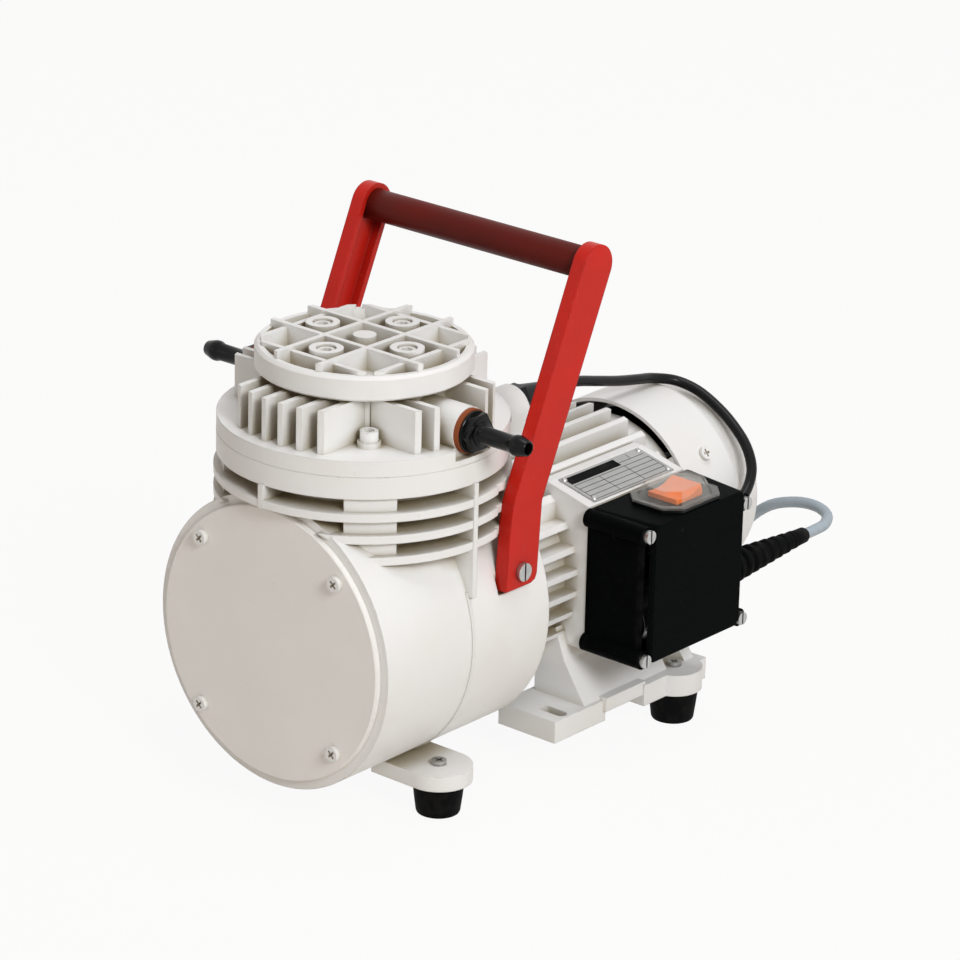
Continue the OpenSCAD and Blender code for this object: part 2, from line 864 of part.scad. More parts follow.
module lid_gasket() {
    color(rubber) placed() difference() {
        union() {
            difference() {
                translate([0, 0, chamber_z]) cylinder(r = chamber_r - 1, h = gasket_t);
                translate([0, 0, chamber_z - e]) cylinder(r = chamber_r - chamber_wall, h = gasket_t + 2 * e);
            }
            translate([-1.25, -chamber_r + 2, chamber_z]) cube([2.5, 2 * chamber_r - 4, gasket_t]);
            lid_screw_places() translate([0, 0, chamber_z]) cylinder(r = 5, h = gasket_t);
        }
        lid_screw_places() translate([0, 0, chamber_z - e]) cylinder(r = m5 + fit, h = 5, $fn = 32);
    }
}

module lid_lattice() {
    intersection() {
        translate([0, 0, lid_z + 1]) cylinder(r = collar_r - 3, h = lattice_z - lid_z - 1);
        union() {
            for (x = [-36, -13, 13, 36], a = [0, 90]) {
                rotate([0, 0, a]) translate([x - lattice_t / 2, -collar_r, lid_z])
                    cube([lattice_t, 2 * collar_r, lattice_z - lid_z - (abs(x) > 20 ? 1.6 : 0)]);
            }
            cylinder(r = 5.5, h = lattice_z, $fn = 48);
            lid_screw_places() cylinder(r = 8, h = lattice_z, $fn = 64);
        }
    }
}

module head_lid() {
    color(white) placed() difference() {
        union() {
            rotate_extrude() polygon([
                [0, lid_z],
                [collar_r - 1, lid_z],
                [collar_r, lid_z + 1],
                [collar_r, collar_z - 1.5],
                [collar_r - 1.5, collar_z],
                [collar_r - 4, collar_z],
                [collar_r - 4.5, lid_z + lid_floor],
                [0, lid_z + lid_floor]
            ]);
            lid_lattice();
        }
        lid_screw_places() translate([0, 0, lid_z - e]) cylinder(r = m5 + fit, h = 30, $fn = 32);
        lid_screw_places() translate([0, 0, lattice_z - m5_head_h - 1])
            cylinder(r = m5_head_r + 0.5, h = 10);
    }
}

module lid_screws() {
    head_z = lattice_z - m5_head_h - 1;
    color(steel) placed() lid_screw_places() translate([0, 0, head_z])
        screw(m5, head_z - chamber_z + 14, m5_head_r, m5_head_h, "hex");
}

// HOSE NOZZLES

module nozzle() {
    translate([0, 0, nozzle_z]) difference() {
        union() {
            rod_x(nozzle_root_r, chamber_r - 6, hex_x + e);
            rod_x(seal_r - 3.6, boss_end, hex_x + e);
            translate([hex_x, 0, 0]) rotate([0, 90, 0]) rotate([0, 0, 30])
                cylinder(r = nozzle_af / sqrt(3), h = hex_t, $fn = 6);
            rod_x(nozzle_r + 1.6, tube_x - e, tube_x + 1.6);
            rod_x(nozzle_r, tube_x, barb_x + e);
            rotate([0, 90, 0]) rotate_extrude() polygon([
                [0, barb_x],
                [nozzle_r, barb_x],
                [nozzle_r + 0.8, barb_x + 2],
                [nozzle_r + 0.8, barb_x + 4],
                [nozzle_r - 0.6, tip_x],
                [0, tip_x]
            ]);
        }
        rod_x(nozzle_bore_r, chamber_r - 8, tip_x + e);
    }
}

module outlet_nozzle() {
    color(black) placed() nozzle();
}

module inlet_nozzle() {
    color(black) placed() mirror([1, 0, 0]) nozzle();
}

module nozzle_seals() {
    color(orange) placed() both_sides() translate([0, 0, nozzle_z]) difference() {
        rod_x(seal_r, boss_end, hex_x);
        rod_x(seal_r - 3.6 + fit, boss_end - e, hex_x + e);
    }
}

// CARRYING HANDLE

// Outline of an arm in y and z, drawn in by an inset
module arm_outline(inset) {
    half = arm_w / 2 - inset;
    top = arm_top_r - inset;
    lean = atan2(grip_y - arm_bend_y, grip_z - arm_bend_z);
    union() {
        polygon([
            [arm_y0 - half, arm_foot_z + inset],
            [arm_y0 + half - arm_foot_r, arm_foot_z + inset],
            [arm_y0 + half - 1.2, arm_foot_z + inset + 1.2],
            [arm_y0 + half, arm_foot_z + inset + arm_foot_r],
            [arm_bend_y + half, arm_bend_z + 2],
            [grip_y + top * cos(lean), grip_z - top * sin(lean)],
            [grip_y - top * cos(lean), grip_z + top * sin(lean)],
            [arm_bend_y - half + 2, arm_bend_z + 6],
            [arm_bend_y - half, arm_bend_z - 6]
        ]);
        translate([grip_y, grip_z]) circle(r = top);
    }
}

module arm() {
    difference() {
        drawn_x(seat_x, arm_x) arm_outline(0);
        drawn_x(seat_x - e, arm_x - arm_web) {
            arm_outline(arm_edge);
            translate([grip_y, grip_z]) circle(r = grip_r + fit);
        }
        translate([0, arm_y0, arm_hole_z]) rod_x(m5 + fit, seat_x, arm_x + e);
    }
}

module carry_handle() {
    color(red) placed() {
        both_sides() arm();
        translate([0, grip_y, grip_z]) rod_x(grip_r - 2, -arm_x + arm_web - e, arm_x - arm_web + e);
    }
}

module handle_grip() {
    color(dark_red) placed() translate([0, grip_y, grip_z]) difference() {
        rod_x(grip_r, -arm_x + arm_web, arm_x - arm_web);
        rod_x(grip_r - 2 + fit, -arm_x, arm_x);
    }
}

module handle_screws() {
    color(steel) placed() both_sides() translate([arm_x, arm_y0, arm_hole_z]) rotate([0, 90, 0])
        screw(m5, 14, 4.4, 2.4, "slot");
}

// MOTOR

module motor_fins() {
    reach = [for (i = [0.5:1:3.5]) i * motor_fin_pitch];
    side_reach = 30;
    for (s = [-1, 1], p = reach) {
        translate([s * p - motor_fin_t / 2, -motor_r]) square([motor_fin_t, 2 * motor_r]);
        if (p < side_reach) {
            translate([-motor_r, s * p - motor_fin_t / 2]) square([2 * motor_r, motor_fin_t]);
        }
    }
}

// Casting under the terminal box, with a sloping top
module terminal_pad() {
    drawn_y(pad_y0, pad_y1) polygon([
        [pad_x0, box_z0],
        [box_x0, box_z0],
        [box_x0, box_z1],
        [35, box_z1 + pad_rise],
        [pad_x0, box_z1 + pad_rise]
    ]);
}

// One foot rail, with the slot pad in front and the ear over the rear foot
module foot_rail() {
    top = foot_z + rail_h;
    difference() {
        union() {
            translate([32, rail_y0, foot_z]) cube([35, 38, rail_h]);
            translate([38, 100, foot_z + 5.5]) cube([31, 30, rail_h - 4]);
            translate([38, 128, foot_z]) cube([32, rail_y1 - 128, rail_h]);
            translate([rear_foot_x, rear_foot_y, foot_z]) cylinder(r = 14, h = rail_h);
            drawn_y(88, rail_y1 - 4)
                polygon([[34, top - 1], [34, -30], [46, -24], [52, -40], [66, top - 1]]);
        }
        slot_cut(top);
        translate([rear_foot_x, rear_foot_y, foot_z - e]) cylinder(r = m4 + fit, h = 20, $fn = 32);
        translate([rear_foot_x, rear_foot_y, top]) cylinder(r = 7, h = box_z0 - top - 2);
    }
}

module slot_cut(top) {
    half = (slot_l - slot_w) / 2;
    translate([slot_x, slot_y, foot_z - e]) {
        for (s = [-1, 1]) translate([s * half, 0, 0]) cylinder(r = slot_w / 2, h = rail_h + 2 * e);
        translate([-half, -slot_w / 2, 0]) cube([2 * half, slot_w, rail_h + 2 * e]);
    }
}

// Raised place on top of the motor that the lead comes out of
module lead_turret() {
    translate([0, turret_y0 + 12, 0]) cylinder(r = 12, h = gland_z - 4);
    translate([-12, turret_y0 + 12, 30]) cube([24, turret_y1 - turret_y0 - 12, gland_z - 34]);
    translate([0, 0, gland_z - 4]) rod_y(12, turret_y0 + 12, turret_y1);
}

module motor_frame() {
    color(white) placed() difference() {
        union() {
            drawn_y(frame_y0, frame_y1) circle(r = core_r);
            drawn_y(frame_y0, frame_y1 - fin_gap) intersection() {
                circle(r = motor_r);
                motor_fins();
            }
            terminal_pad();
            both_sides() foot_rail();
            lead_turret();
        }
        rod_y(stator_r, frame_y0 - e, frame_y1 + e);
        on_diagonals_y(tie_r) rod_y(m4 + 2 * fit, frame_y0 - e, frame_y1 + e);
        translate([0, 0, gland_z]) rod_y(6 + fit, turret_y1 - 8, turret_y1 + e);
        translate([0, turret_y1 - 8, 30]) cylinder(r = 4, h = gland_z - 30);
    }
}

module front_shield() {
    color(white) placed() difference() {
        union() {
            rod_y(motor_r - 0.5, barrel_rear, frame_y0);
            rod_y(stator_r - fit, frame_y0 - e, front_bearing_y + bearing_w);
            rod_y(26 - fit, barrel_rear - 6, barrel_rear + e);
        }
        rod_y(12, barrel_rear - 8, frame_y0);
        rod_y(bearing_r + fit, front_bearing_y, frame_y0 + 20);
        on_diagonals_y(flange_screw_r) rod_y(m5 + fit, barrel_rear - e, frame_y0 - 1);
        on_diagonals_y(tie_r) rod_y(m4 + fit, frame_y0 - 5, frame_y0 + e);
    }
}

module flange_screws() {
    color(dark_steel) placed() on_diagonals_y(flange_screw_r) translate([0, barrel_rear - rear_wall, 0])
        rotate([90, 0, 0]) screw(m5, rear_wall + 5, m5_head_r, m5_head_h, "hex");
}

module cowl_lug_places() {
    for (a = [cowl_lug_a, 180 - cowl_lug_a, 180 + cowl_lug_a, -cowl_lug_a]) {
        rotate([0, a, 0]) translate([0, cowl_lug_y, 0]) children();
    }
}

module rear_shield() {
    shield_r = motor_r - cowl_t - gap;
    color(white) placed() difference() {
        union() {
            rod_y(core_r, frame_y1, cowl_y0 + e);
            rod_y(core_r, cowl_y0, cowl_y0 + shield_t);
            rod_y(stator_r - fit, rear_bearing_y, frame_y1 + e);
            intersection() {
                cowl_lug_places() translate([0, cowl_y0 - cowl_lug_y, -lug_w / 2]) {
                    translate([fan_r + 3.2, 0, 0]) cube([10, cowl_lug_y - cowl_y0 + 4, lug_w]);
                    translate([core_r - 4, 0, 0]) cube([fan_r - core_r + 9, shield_t, lug_w]);
                }
                rod_y(shield_r, cowl_y0, cowl_lug_y + 4);
            }
        }
        rod_y(journal_r + 2, frame_y1 - 3, cowl_y0 + 10);
        rod_y(bearing_r + fit, rear_bearing_y - e, rear_bearing_y + bearing_w);
        on_diagonals_y(tie_r) rod_y(m4 + 2 * fit, frame_y1 - 10, cowl_y0 + 10);
        cowl_lug_places() rod_x(m4 + fit, fan_r, motor_r);
    }
}

module tie_bolts() {
    head_y = cowl_y0 + shield_t;
    color(steel) placed() on_diagonals_y(tie_r) translate([0, head_y, 0]) rotate([-90, 0, 0])
        screw(m4, head_y - frame_y0 + 4, 3.5, 3, "hex");
}

module stator() {
    slots = 24;
    color(dark_steel) placed() drawn_y(stator_y, stator_y + stator_len) difference() {
        circle(r = stator_r - fit);
        circle(r = air_gap_r);
        for (i = [0:slots - 1]) {
            rotate(360 * i / slots) translate([air_gap_r + 2, -1.6]) square([9, 3.2]);
            rotate(360 * i / slots) translate([air_gap_r - 1, -0.7]) square([4, 1.4]);
        }
    }
}

module windings() {
    coil_len = 12;
    color(copper) placed() for (y = [stator_y - coil_len, stator_y + stator_len]) {
        turned_y() translate([(air_gap_r + stator_r) / 2 - 6, y + 0.01]) square([12, coil_len - 0.02]);
    }
}

module rotor() {
    rotor_r = air_gap_r - 0.4;
    color(dark_steel) placed() difference() {
        union() {
            rod_y(rotor_r, stator_y - 1, stator_y + stator_len + 1);
            rod_y(rotor_r - 3, stator_y - 8, stator_y + stator_len + 8);
        }
        rod_y(journal_r + 1.5 + run, stator_y - 10, stator_y + stator_len + 10);
    }
}

module motor_shaft() {
    color(steel) placed() difference() {
        union() {
            rod_y(shaft_nose_r, crank_front, front_bearing_y - gap + e);
            rod_y(journal_r - run, front_bearing_y - gap, rear_bearing_y + bearing_w + gap);
            rod_y(journal_r + 1.5, front_bearing_y + bearing_w + gap, rear_bearing_y - gap);
            rod_y(journal_r - 1, rear_bearing_y, shaft_end);
        }
        rod_y(m6 + fit, crank_front - e, crank_front + 18);
    }
}

module front_bearing() {
    color(steel) placed() translate([0, front_bearing_y + bearing_w / 2, 0])
        ball_bearing(journal_r, bearing_r, bearing_w, 8);
}

module rear_bearing() {
    color(steel) placed() translate([0, rear_bearing_y + bearing_w / 2, 0])
        ball_bearing(journal_r, bearing_r, bearing_w, 8);
}

module fan() {
    fan_y0 = cowl_y0 + 11.5;
    color(black) placed() difference() {
        union() {
            rod_y(13, fan_y0, shaft_end - 1);
            rod_y(22, fan_y0 + 6, fan_y0 + 8);
            for (i = [0:fan_blades - 1]) {
                rotate([0, 360 * i / fan_blades, 0]) translate([11, fan_y0 + 2, -0.9])
                    cube([fan_r - 11, 15, 1.8]);
            }
        }
        rod_y(journal_r - 1 + run, fan_y0 - e, shaft_end);
    }
}

module fan_cowl() {
    rear = cowl_rear_r;
    color(white) placed() difference() {
        turned_y() polygon([
            [motor_r - cowl_t, cowl_y0],
            [motor_r, cowl_y0],
            [motor_r, cowl_step_y],
            [motor_r - 1, cowl_step_y + 3],
            [rear, cowl_step_y + 5],
            [rear, cowl_y1 - 4],
            [rear - 1.2, cowl_y1 - 1.2],
            [rear - 4, cowl_y1],
            [0, cowl_y1],
            [0, cowl_y1 - cowl_t],
            [rear - 4.6, cowl_y1 - cowl_t],
            [rear - cowl_t, cowl_y1 - 4.6],
            [rear - cowl_t, cowl_step_y + 4],
            [motor_r - cowl_t, cowl_step_y + 2]
        ]);
        for (i = [0:23]) {
            rotate([0, 15 * i, 0]) translate([18, cowl_y1 - 5, -1.7]) cube([25, 10, 3.4]);
        }
        cowl_lug_places() rod_x(m4 + fit, fan_r, motor_r + 5);
    }
}

module cowl_screws() {
    color(steel) placed() cowl_lug_places() translate([motor_r, 0, 0]) rotate([0, 90, 0])
        screw(m4, 5, 3.4, 2, "cross");
}

module on_pad_slope() {
    translate([(35 + box_x0) / 2, (pad_y0 + pad_y1) / 2, box_z1 + pad_rise / 2])
        rotate([0, plate_slope, 0]) children();
}

module rivet_places() {
    for (x = [-1, 1], y = [-1, 1]) translate([x * (label_w / 2 - 2), y * (label_l / 2 - 2), 0]) children();
}

module rating_plate() {
    color(plate_grey) placed() on_pad_slope() difference() {
        translate([-label_w / 2, -label_l / 2, 0]) cube([label_w, label_l, 0.8]);
        rivet_places() translate([0, 0, -e]) cylinder(r = 1 + fit, h = 3, $fn = 24);
    }
}

module plate_rivets() {
    color(steel) placed() on_pad_slope() rivet_places() {
        cylinder(r = 1, h = 1, $fn = 24);
        translate([0, 0, 0.8]) cylinder(r1 = 1.6, r2 = 1, h = 0.7, $fn = 24);
    }
}

// TERMINAL BOX AND SWITCH

module box_screw_places() {
    for (p = [[box_y0 + 1.5, box_z1 - 5], [box_y1 - 1.5, box_z1 - 8.5],
        [box_y0 + 1.5, box_z0 + 5], [box_y1 - 1.5, box_z0 + 5]]) {
        translate([0, p[0], p[1]]) children();
    }
}

module box_base() {
    color(black) placed() difference() {
        union() {
            translate([box_x0, box_y0 + 1, box_z0 + 1])
                cube([box_base_t, box_y1 - box_y0 - 2, box_z1 - box_z0 - 2]);
            box_screw_places() rod_x(4.5, box_x0, box_x0 + box_base_t);
        }
        box_screw_places() rod_x(m4 + fit, box_x0 - e, box_x0 + box_base_t + e);
    }
}

// Four rounded corners of the cover at one depth
module cover_corners(x, inset, t) {
    corner_r = 4;
    low = box_z0 + inset * 0.7 + corner_r;
    high = box_z1 - inset * 0.1 - corner_r;
    for (y = [box_y0 + inset + corner_r, box_y1 - inset - corner_r], z = [low, high]) {
        translate([0, y, z]) rotate([0, 90, 0]) translate([0, 0, x])
            cylinder(r = corner_r, h = t, $fn = 32);
    }
}

module box_cover() {
    cover_x0 = box_x0 + box_base_t;
    w = box_wall;
    color(black) placed() difference() {
        union() {
            hull() {
                cover_corners(cover_x0, 0, 1);
                cover_corners(box_x1 - 1.2, 4, 0.4);
                cover_corners(box_x1 - 0.4, 5.2, 0.4);
            }
            box_screw_places() rod_x(4.5, cover_x0, box_x1 - 2.5);
        }
        difference() {
            translate([cover_x0 - e, box_y0 + w + 1, box_z0 + w])
                cube([box_x1 - cover_x0 - w + e, box_y1 - box_y0 - 2 * w - 2, box_z1 - box_z0 - 2 * w]);
            box_screw_places() rod_x(4.5, cover_x0 - 1, box_x1 - 2.5);
        }
        box_screw_places() rod_x(m4 + fit, cover_x0 - e, box_x1 + e);
        box_screw_places() rod_x(4, box_x1 - 3, box_x1 + 5);
        translate([switch_x, switch_y, 0])
            translate([-rocker_w / 2 - 2.2, -rocker_r - 2.2, box_z1 - 6])
            cube([rocker_w + 4.4, 2 * rocker_r + 4.4, 10]);
        translate([relief_x, 0, relief_z]) rod_y(6 + fit, box_y1 - 8, box_y1 + 5);
        translate([lead_x, 0, lead_z]) rod_y(5 + fit, box_y1 - 8, box_y1 + 5);
    }
}

module box_screws() {
    seat = box_x1 - 3;
    color(steel) placed() box_screw_places() translate([seat, 0, 0]) rotate([0, 90, 0])
        screw(m4, seat - box_x0 + 0.01, 3.25, screw_head_h, "slot");
}

module capacitor() {
    color(steel) placed() translate([box_x0 + box_base_t + 13.2, 0, box_z0 + 18]) {
        rod_y(13, box_y0 + 10, box_y0 + 56);
        rod_y(3, box_y0 + 56, box_y0 + 60);
    }
}

module terminal_block() {
    color(white) placed() translate([box_x0 + box_base_t, box_y1 - 34, 6]) difference() {
        cube([12, 26, 9]);
        for (i = [0:2]) translate([0, 5 + 8 * i, 4.5]) rod_x(2, 3, 12 + e);
    }
}

module switch_body() {
    w = rocker_w + 4;
    l = 2 * rocker_r + 4;
    color(black) placed() translate([switch_x, switch_y, 0]) difference() {
        union() {
            translate([-w / 2, -l / 2, box_z1 - switch_deep]) cube([w, l, switch_deep + bezel_t]);
            translate([-cover_w / 2, -cover_l / 2, box_z1]) linear_extrude(bezel_t)
                octagon(cover_w, cover_l, cover_cut);
        }
        translate([-rocker_w / 2 - gap, -rocker_r - gap, rocker_z - 7.5])
            cube([rocker_w + 2 * gap, 2 * rocker_r + 2 * gap, 20]);
    }
}

// A rectangle with its corners cut off
module octagon(w, l, c) {
    polygon([[c, 0], [w - c, 0], [w, c], [w, l - c], [w - c, l], [c, l], [0, l - c], [0, c]]);
}

module switch_rocker() {
    color(orange) placed() translate([switch_x, switch_y, rocker_z]) rotate([rocker_tip / 2, 0, 0])
        intersection() {
            rod_x(rocker_r, -rocker_w / 2, rocker_w / 2);
            drawn_x(-rocker_w / 2, rocker_w / 2) polygon([
                [-rocker_r - 1, -3.5],
                [rocker_r + 1, -3.5],
                [rocker_r + 1, 3.4],
                [0, 1.4],
                [-rocker_r - 1, 3.4]
            ]);
        }
}

module cover_shell(grow, z0, z1) {
    w = cover_w - 4 + 2 * grow;
    l = cover_l - 4 + 2 * grow;
    hull() {
        translate([-w / 2, -l / 2, z0]) linear_extrude(0.01) octagon(w, l, cover_cut);
        translate([-w / 2 + 3, -l / 2 + 4, z1 - 0.01]) linear_extrude(0.01) octagon(w - 6, l - 8, 6);
    }
}

module switch_cover() {
    z0 = box_z1 + bezel_t;
    color([0.85, 0.87, 0.85, 0.4]) placed() translate([switch_x, switch_y, 0]) difference() {
        union() {
            translate([-cover_w / 2, -cover_l / 2, z0]) linear_extrude(1)
                octagon(cover_w, cover_l, cover_cut);
            cover_shell(0, z0, box_z1 + cover_h);
        }
        cover_shell(-1, z0 - 0.01, box_z1 + cover_h - 0.9);
    }
}

// LEADS, CORD AND FEET

module lead_gland() {
    color(black) placed() translate([0, 0, gland_z]) difference() {
        union() {
            rod_y(6, turret_y1 - 8, turret_y1 + e);
            translate([0, turret_y1, 0]) rotate([-90, 0, 0]) cylinder(r = 7.5, h = 6, $fn = 6);
            translate([0, turret_y1 + 6, 0]) rotate([-90, 0, 0])
                cylinder(r1 = 6.4, r2 = 3.8, h = gland_l - 6);
        }
        rod_y(lead_r + fit, turret_y1 - 9, turret_y1 + gland_l + e);
    }
}

module motor_lead() {
    color(black) placed() tube(curve(lead_points, 3), lead_r, 12, [1, 0, 0]);
}

module lead_grommet() {
    color(black) placed() translate([lead_x, 0, lead_z]) difference() {
        union() {
            rod_y(5, box_y1 - 3, box_y1 + 1);
            rod_y(6.5, box_y1, box_y1 + 2);
            translate([0, box_y1 + 2, 0]) rotate([-90, 0, 0]) cylinder(r1 = 5, r2 = 3.8, h = 5);
        }
        rod_y(lead_r + fit, box_y1 - 4, box_y1 + 8);
    }
}

// Ribbed sleeve that tapers towards its tip
module strain_relief() {
    rings = 8;
    pitch = (relief_l - 6) / rings;
    tip_r = 4.5;
    root_r = 8.2;
    color(black) placed() translate([relief_x, 0, relief_z]) difference() {
        union() {
            rod_y(6, box_y1 - 3, box_y1 + 1);
            translate([0, box_y1, 0]) rotate([-90, 0, 0]) cylinder(r1 = 6, r2 = tip_r - 0.6, h = relief_l);
            for (i = [0:rings - 1]) {
                r = root_r + (tip_r - root_r) * i / (rings - 1);
                rod_y(r, box_y1 + i * pitch, box_y1 + i * pitch + pitch * 0.6);
            }
        }
        rod_y(cord_r + fit, box_y1 - 4, box_y1 + relief_l - 0.01);
        rod_y(cord_r - e, box_y1 - 4, box_y1 + relief_l + e);
    }
}

module mains_cord() {
    color([0.62, 0.66, 0.7]) placed() tube(curve(cord_points, 3), cord_r, 12, [0, 0, 1]);
}

module cord_coil() {
    color([0.62, 0.66, 0.7]) placed() translate([coil_c[0], coil_c[1], -floor_drop])
        rotate_extrude() translate([coil_r - coil_w / 2, 0]) square([coil_w, coil_h]);
}

module cord_plug() {
    color(black) placed() translate([plug_c[0], plug_c[1], -floor_drop]) rotate([0, 0, plug_turn]) {
        translate([-plug_l / 2, -plug_w / 2, 0]) cube([plug_l, plug_w, plug_h]);
        translate([0, 0, plug_h / 2]) {
            rod_x(cord_r, -plug_l / 2 - tail_l, -plug_l / 2 + 1);
            for (y = [-pin_spacing / 2, pin_spacing / 2]) {
                translate([0, y, 0]) rod_x(pin_r, plug_l / 2 - 1, plug_l / 2 + pin_l);
            }
        }
    }
}

module foot_places() {
    both_sides() {
        translate([front_foot_x, front_foot_y, 0]) children();
        translate([rear_foot_x, rear_foot_y, 0]) children();
    }
}

module rubber_feet() {
    color(rubber) placed() foot_places() translate([0, 0, -floor_drop]) difference() {
        rotate_extrude() polygon([
            [0, 0],
            [foot_bottom_r - 1, 0],
            [foot_bottom_r, 1],
            [foot_top_r, foot_h - 1.5],
            [foot_top_r, foot_h],
            [0, foot_h]
        ]);
        translate([0, 0, 4]) cylinder(r = m4 + fit, h = foot_h, $fn = 32);
    }
}

module foot_screws() {
    color(steel) placed() both_sides() {
        translate([front_foot_x, front_foot_y, foot_z + 7.5]) screw(m4, 18, 3.6, 2, "cross");
        translate([rear_foot_x, rear_foot_y, foot_z + rail_h]) screw(m4, 21, 3.6, 2, "cross");
    }
}

crankcase();
front_plate();
front_plate_screws();
diaphragm();
diaphragm_disc();
diaphragm_screw();
connecting_rod();
rod_bearing();
eccentric();
eccentric_washer();
eccentric_screw();
counterweight();
shaft_spacer();
head_body();
head_screws();
inlet_valve();
outlet_valve();
lid_gasket();
head_lid();
lid_screws();
inlet_nozzle();
outlet_nozzle();
nozzle_seals();
carry_handle();
handle_grip();
handle_screws();
front_shield();
flange_screws();
motor_frame();
rear_shield();
tie_bolts();
stator();
windings();
rotor();
motor_shaft();
front_bearing();
rear_bearing();
fan();
fan_cowl();
cowl_screws();
rating_plate();
plate_rivets();
box_base();
box_cover();
box_screws();
capacitor();
terminal_block();
switch_body();
switch_rocker();
switch_cover();
lead_gland();
motor_lead();
lead_grommet();
strain_relief();
mains_cord();
cord_coil();
cord_plug();
rubber_feet();
foot_screws();
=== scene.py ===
"""Dresses the diaphragm vacuum pump: castings, handle, terminal box, nozzles, cord and feet."""

import math

import bmesh
import bpy
from mathutils import Matrix, Vector


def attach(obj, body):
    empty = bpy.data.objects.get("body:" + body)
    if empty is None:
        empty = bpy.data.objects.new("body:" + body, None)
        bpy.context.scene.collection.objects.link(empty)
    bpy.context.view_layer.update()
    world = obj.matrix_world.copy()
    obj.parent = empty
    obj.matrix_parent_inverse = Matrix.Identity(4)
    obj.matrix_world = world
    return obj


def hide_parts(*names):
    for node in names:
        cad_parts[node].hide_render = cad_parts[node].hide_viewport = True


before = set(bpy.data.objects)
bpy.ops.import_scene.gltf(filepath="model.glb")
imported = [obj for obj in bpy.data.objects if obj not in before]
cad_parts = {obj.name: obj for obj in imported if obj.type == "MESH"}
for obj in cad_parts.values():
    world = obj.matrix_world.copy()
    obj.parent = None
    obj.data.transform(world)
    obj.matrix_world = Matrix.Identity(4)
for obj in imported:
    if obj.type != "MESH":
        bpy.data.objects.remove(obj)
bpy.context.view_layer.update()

bl_info = {
    "name": "Diaphragm vacuum pump",
    "version": (1, 0, 0),
    "blender": (4, 5, 0),
    "location": "View3D > Sidebar > Pump",
    "description": "Builds the looks of a portable diaphragm vacuum pump round its CAD frame",
    "category": "Object",
}

MM = 0.001
# The pump's measurements are taken from the shaft under the neck; the frame starts under its middle
MIDDLE_Y = 88.0
SHAFT_Z = 87.0
FLOOR_Z = -SHAFT_Z
UPWARD = Vector((0, 0, 1))


def at(x, y, z):
    """A point measured from the shaft axis in millimetres, as a point of the frame in metres."""
    return Vector((x, y - MIDDLE_Y, z + SHAFT_Z)) * MM


# Sizes and colours that a user may change


def colour(label, text, rgb):
    return bpy.props.FloatVectorProperty(
        name=label, description=text, subtype="COLOR", size=3, min=0, max=1, default=rgb
    )


def length(label, text, value):
    return bpy.props.FloatProperty(
        name=label, description=text, unit="LENGTH", precision=4, min=0.0001, default=value
    )


class PumpSizes(bpy.types.PropertyGroup):
    """Sizes of the pieces that are built here."""

    cord_diameter: length("Cord diameter", "Outer diameter of the mains cord", 5.6 * MM)
    cord_length: length("Cord length", "Length of the mains cord, with its coil", 1.8)
    lead_diameter: length("Lead diameter", "Diameter of the lead from the motor to the box", 5.3 * MM)
    cast_grain: length("Casting grain", "Size of the grain in the enamelled castings", 1.1 * MM)
    edge_round: length("Edge rounding", "Radius that the enamel gives to cast edges", 0.8 * MM)
    print_height: length("Print height", "Thickness of the printed fields on the rating plate", 0.06 * MM)


class PumpColours(bpy.types.PropertyGroup):
    """Colours of the pump's finishes."""

    enamel: colour("Enamel", "White enamel on the castings", (0.87, 0.875, 0.875))
    # Painted shade: the castings and screws take this colour in corners and between fins, where shade falls
    enamel_painted_shade: colour("Enamel shade", "Enamel in the corners, where dust settles", (0.34, 0.28, 0.17))
    plate: colour("Front plate", "Grey-beige enamel of the front plate", (0.91, 0.895, 0.88))
    handle: colour("Handle", "Red enamel of the handle's arms", (0.60, 0.018, 0.010))
    grip: colour("Grip", "Dark red sleeve on the handle's bar", (0.090, 0.006, 0.003))
    box: colour("Box", "Black plastic of the terminal box", (0.0016, 0.002, 0.002))
    rubber: colour("Rubber", "Black rubber of feet and sleeves", (0.0045, 0.0048, 0.005))
    nozzle: colour("Nozzle", "Glossy black plastic of the nozzles", (0.002, 0.002, 0.0022))
    seal: colour("Seal", "Brown rubber of the nozzles' seal rings", (0.30, 0.085, 0.035))
    rocker: colour("Rocker", "Orange plastic of the switch rocker", (0.80, 0.165, 0.006))
    cord: colour("Cord", "Pale grey-blue sheath of the mains cord", (0.40, 0.47, 0.53))
    floor: colour("Floor", "Plain floor and backdrop", (0.70, 0.65, 0.59))


# Shader nodes written as expressions


class Wire:
    """An output socket. Sums on it add Math nodes."""

    def __init__(self, nodes, socket):
        self.nodes = nodes
        self.socket = socket

    def sum(self, operation, first, second):
        return self.nodes.node(
            "ShaderNodeMath", {"operation": operation, "use_clamp": False}, {0: first, 1: second}
        )

    def __add__(self, other):
        return self.sum("ADD", self, other)

    def __radd__(self, other):
        return self.sum("ADD", other, self)

    def __sub__(self, other):
        return self.sum("SUBTRACT", self, other)

    def __rsub__(self, other):
        return self.sum("SUBTRACT", other, self)

    def __mul__(self, other):
        return self.sum("MULTIPLY", self, other)

    def __rmul__(self, other):
        return self.sum("MULTIPLY", other, self)

    def larger(self, other):
        return self.sum("MAXIMUM", self, other)

    def above(self, level, soft):
        """1 where the value is over a level, 0 under it, with a soft step between."""
        ends = {"From Min": level - soft, "From Max": level + soft, "To Min": 0.0, "To Max": 1.0}
        return self.nodes.node(
            "ShaderNodeMapRange", {"interpolation_type": "SMOOTHSTEP"}, {"Value": self, **ends}
        )


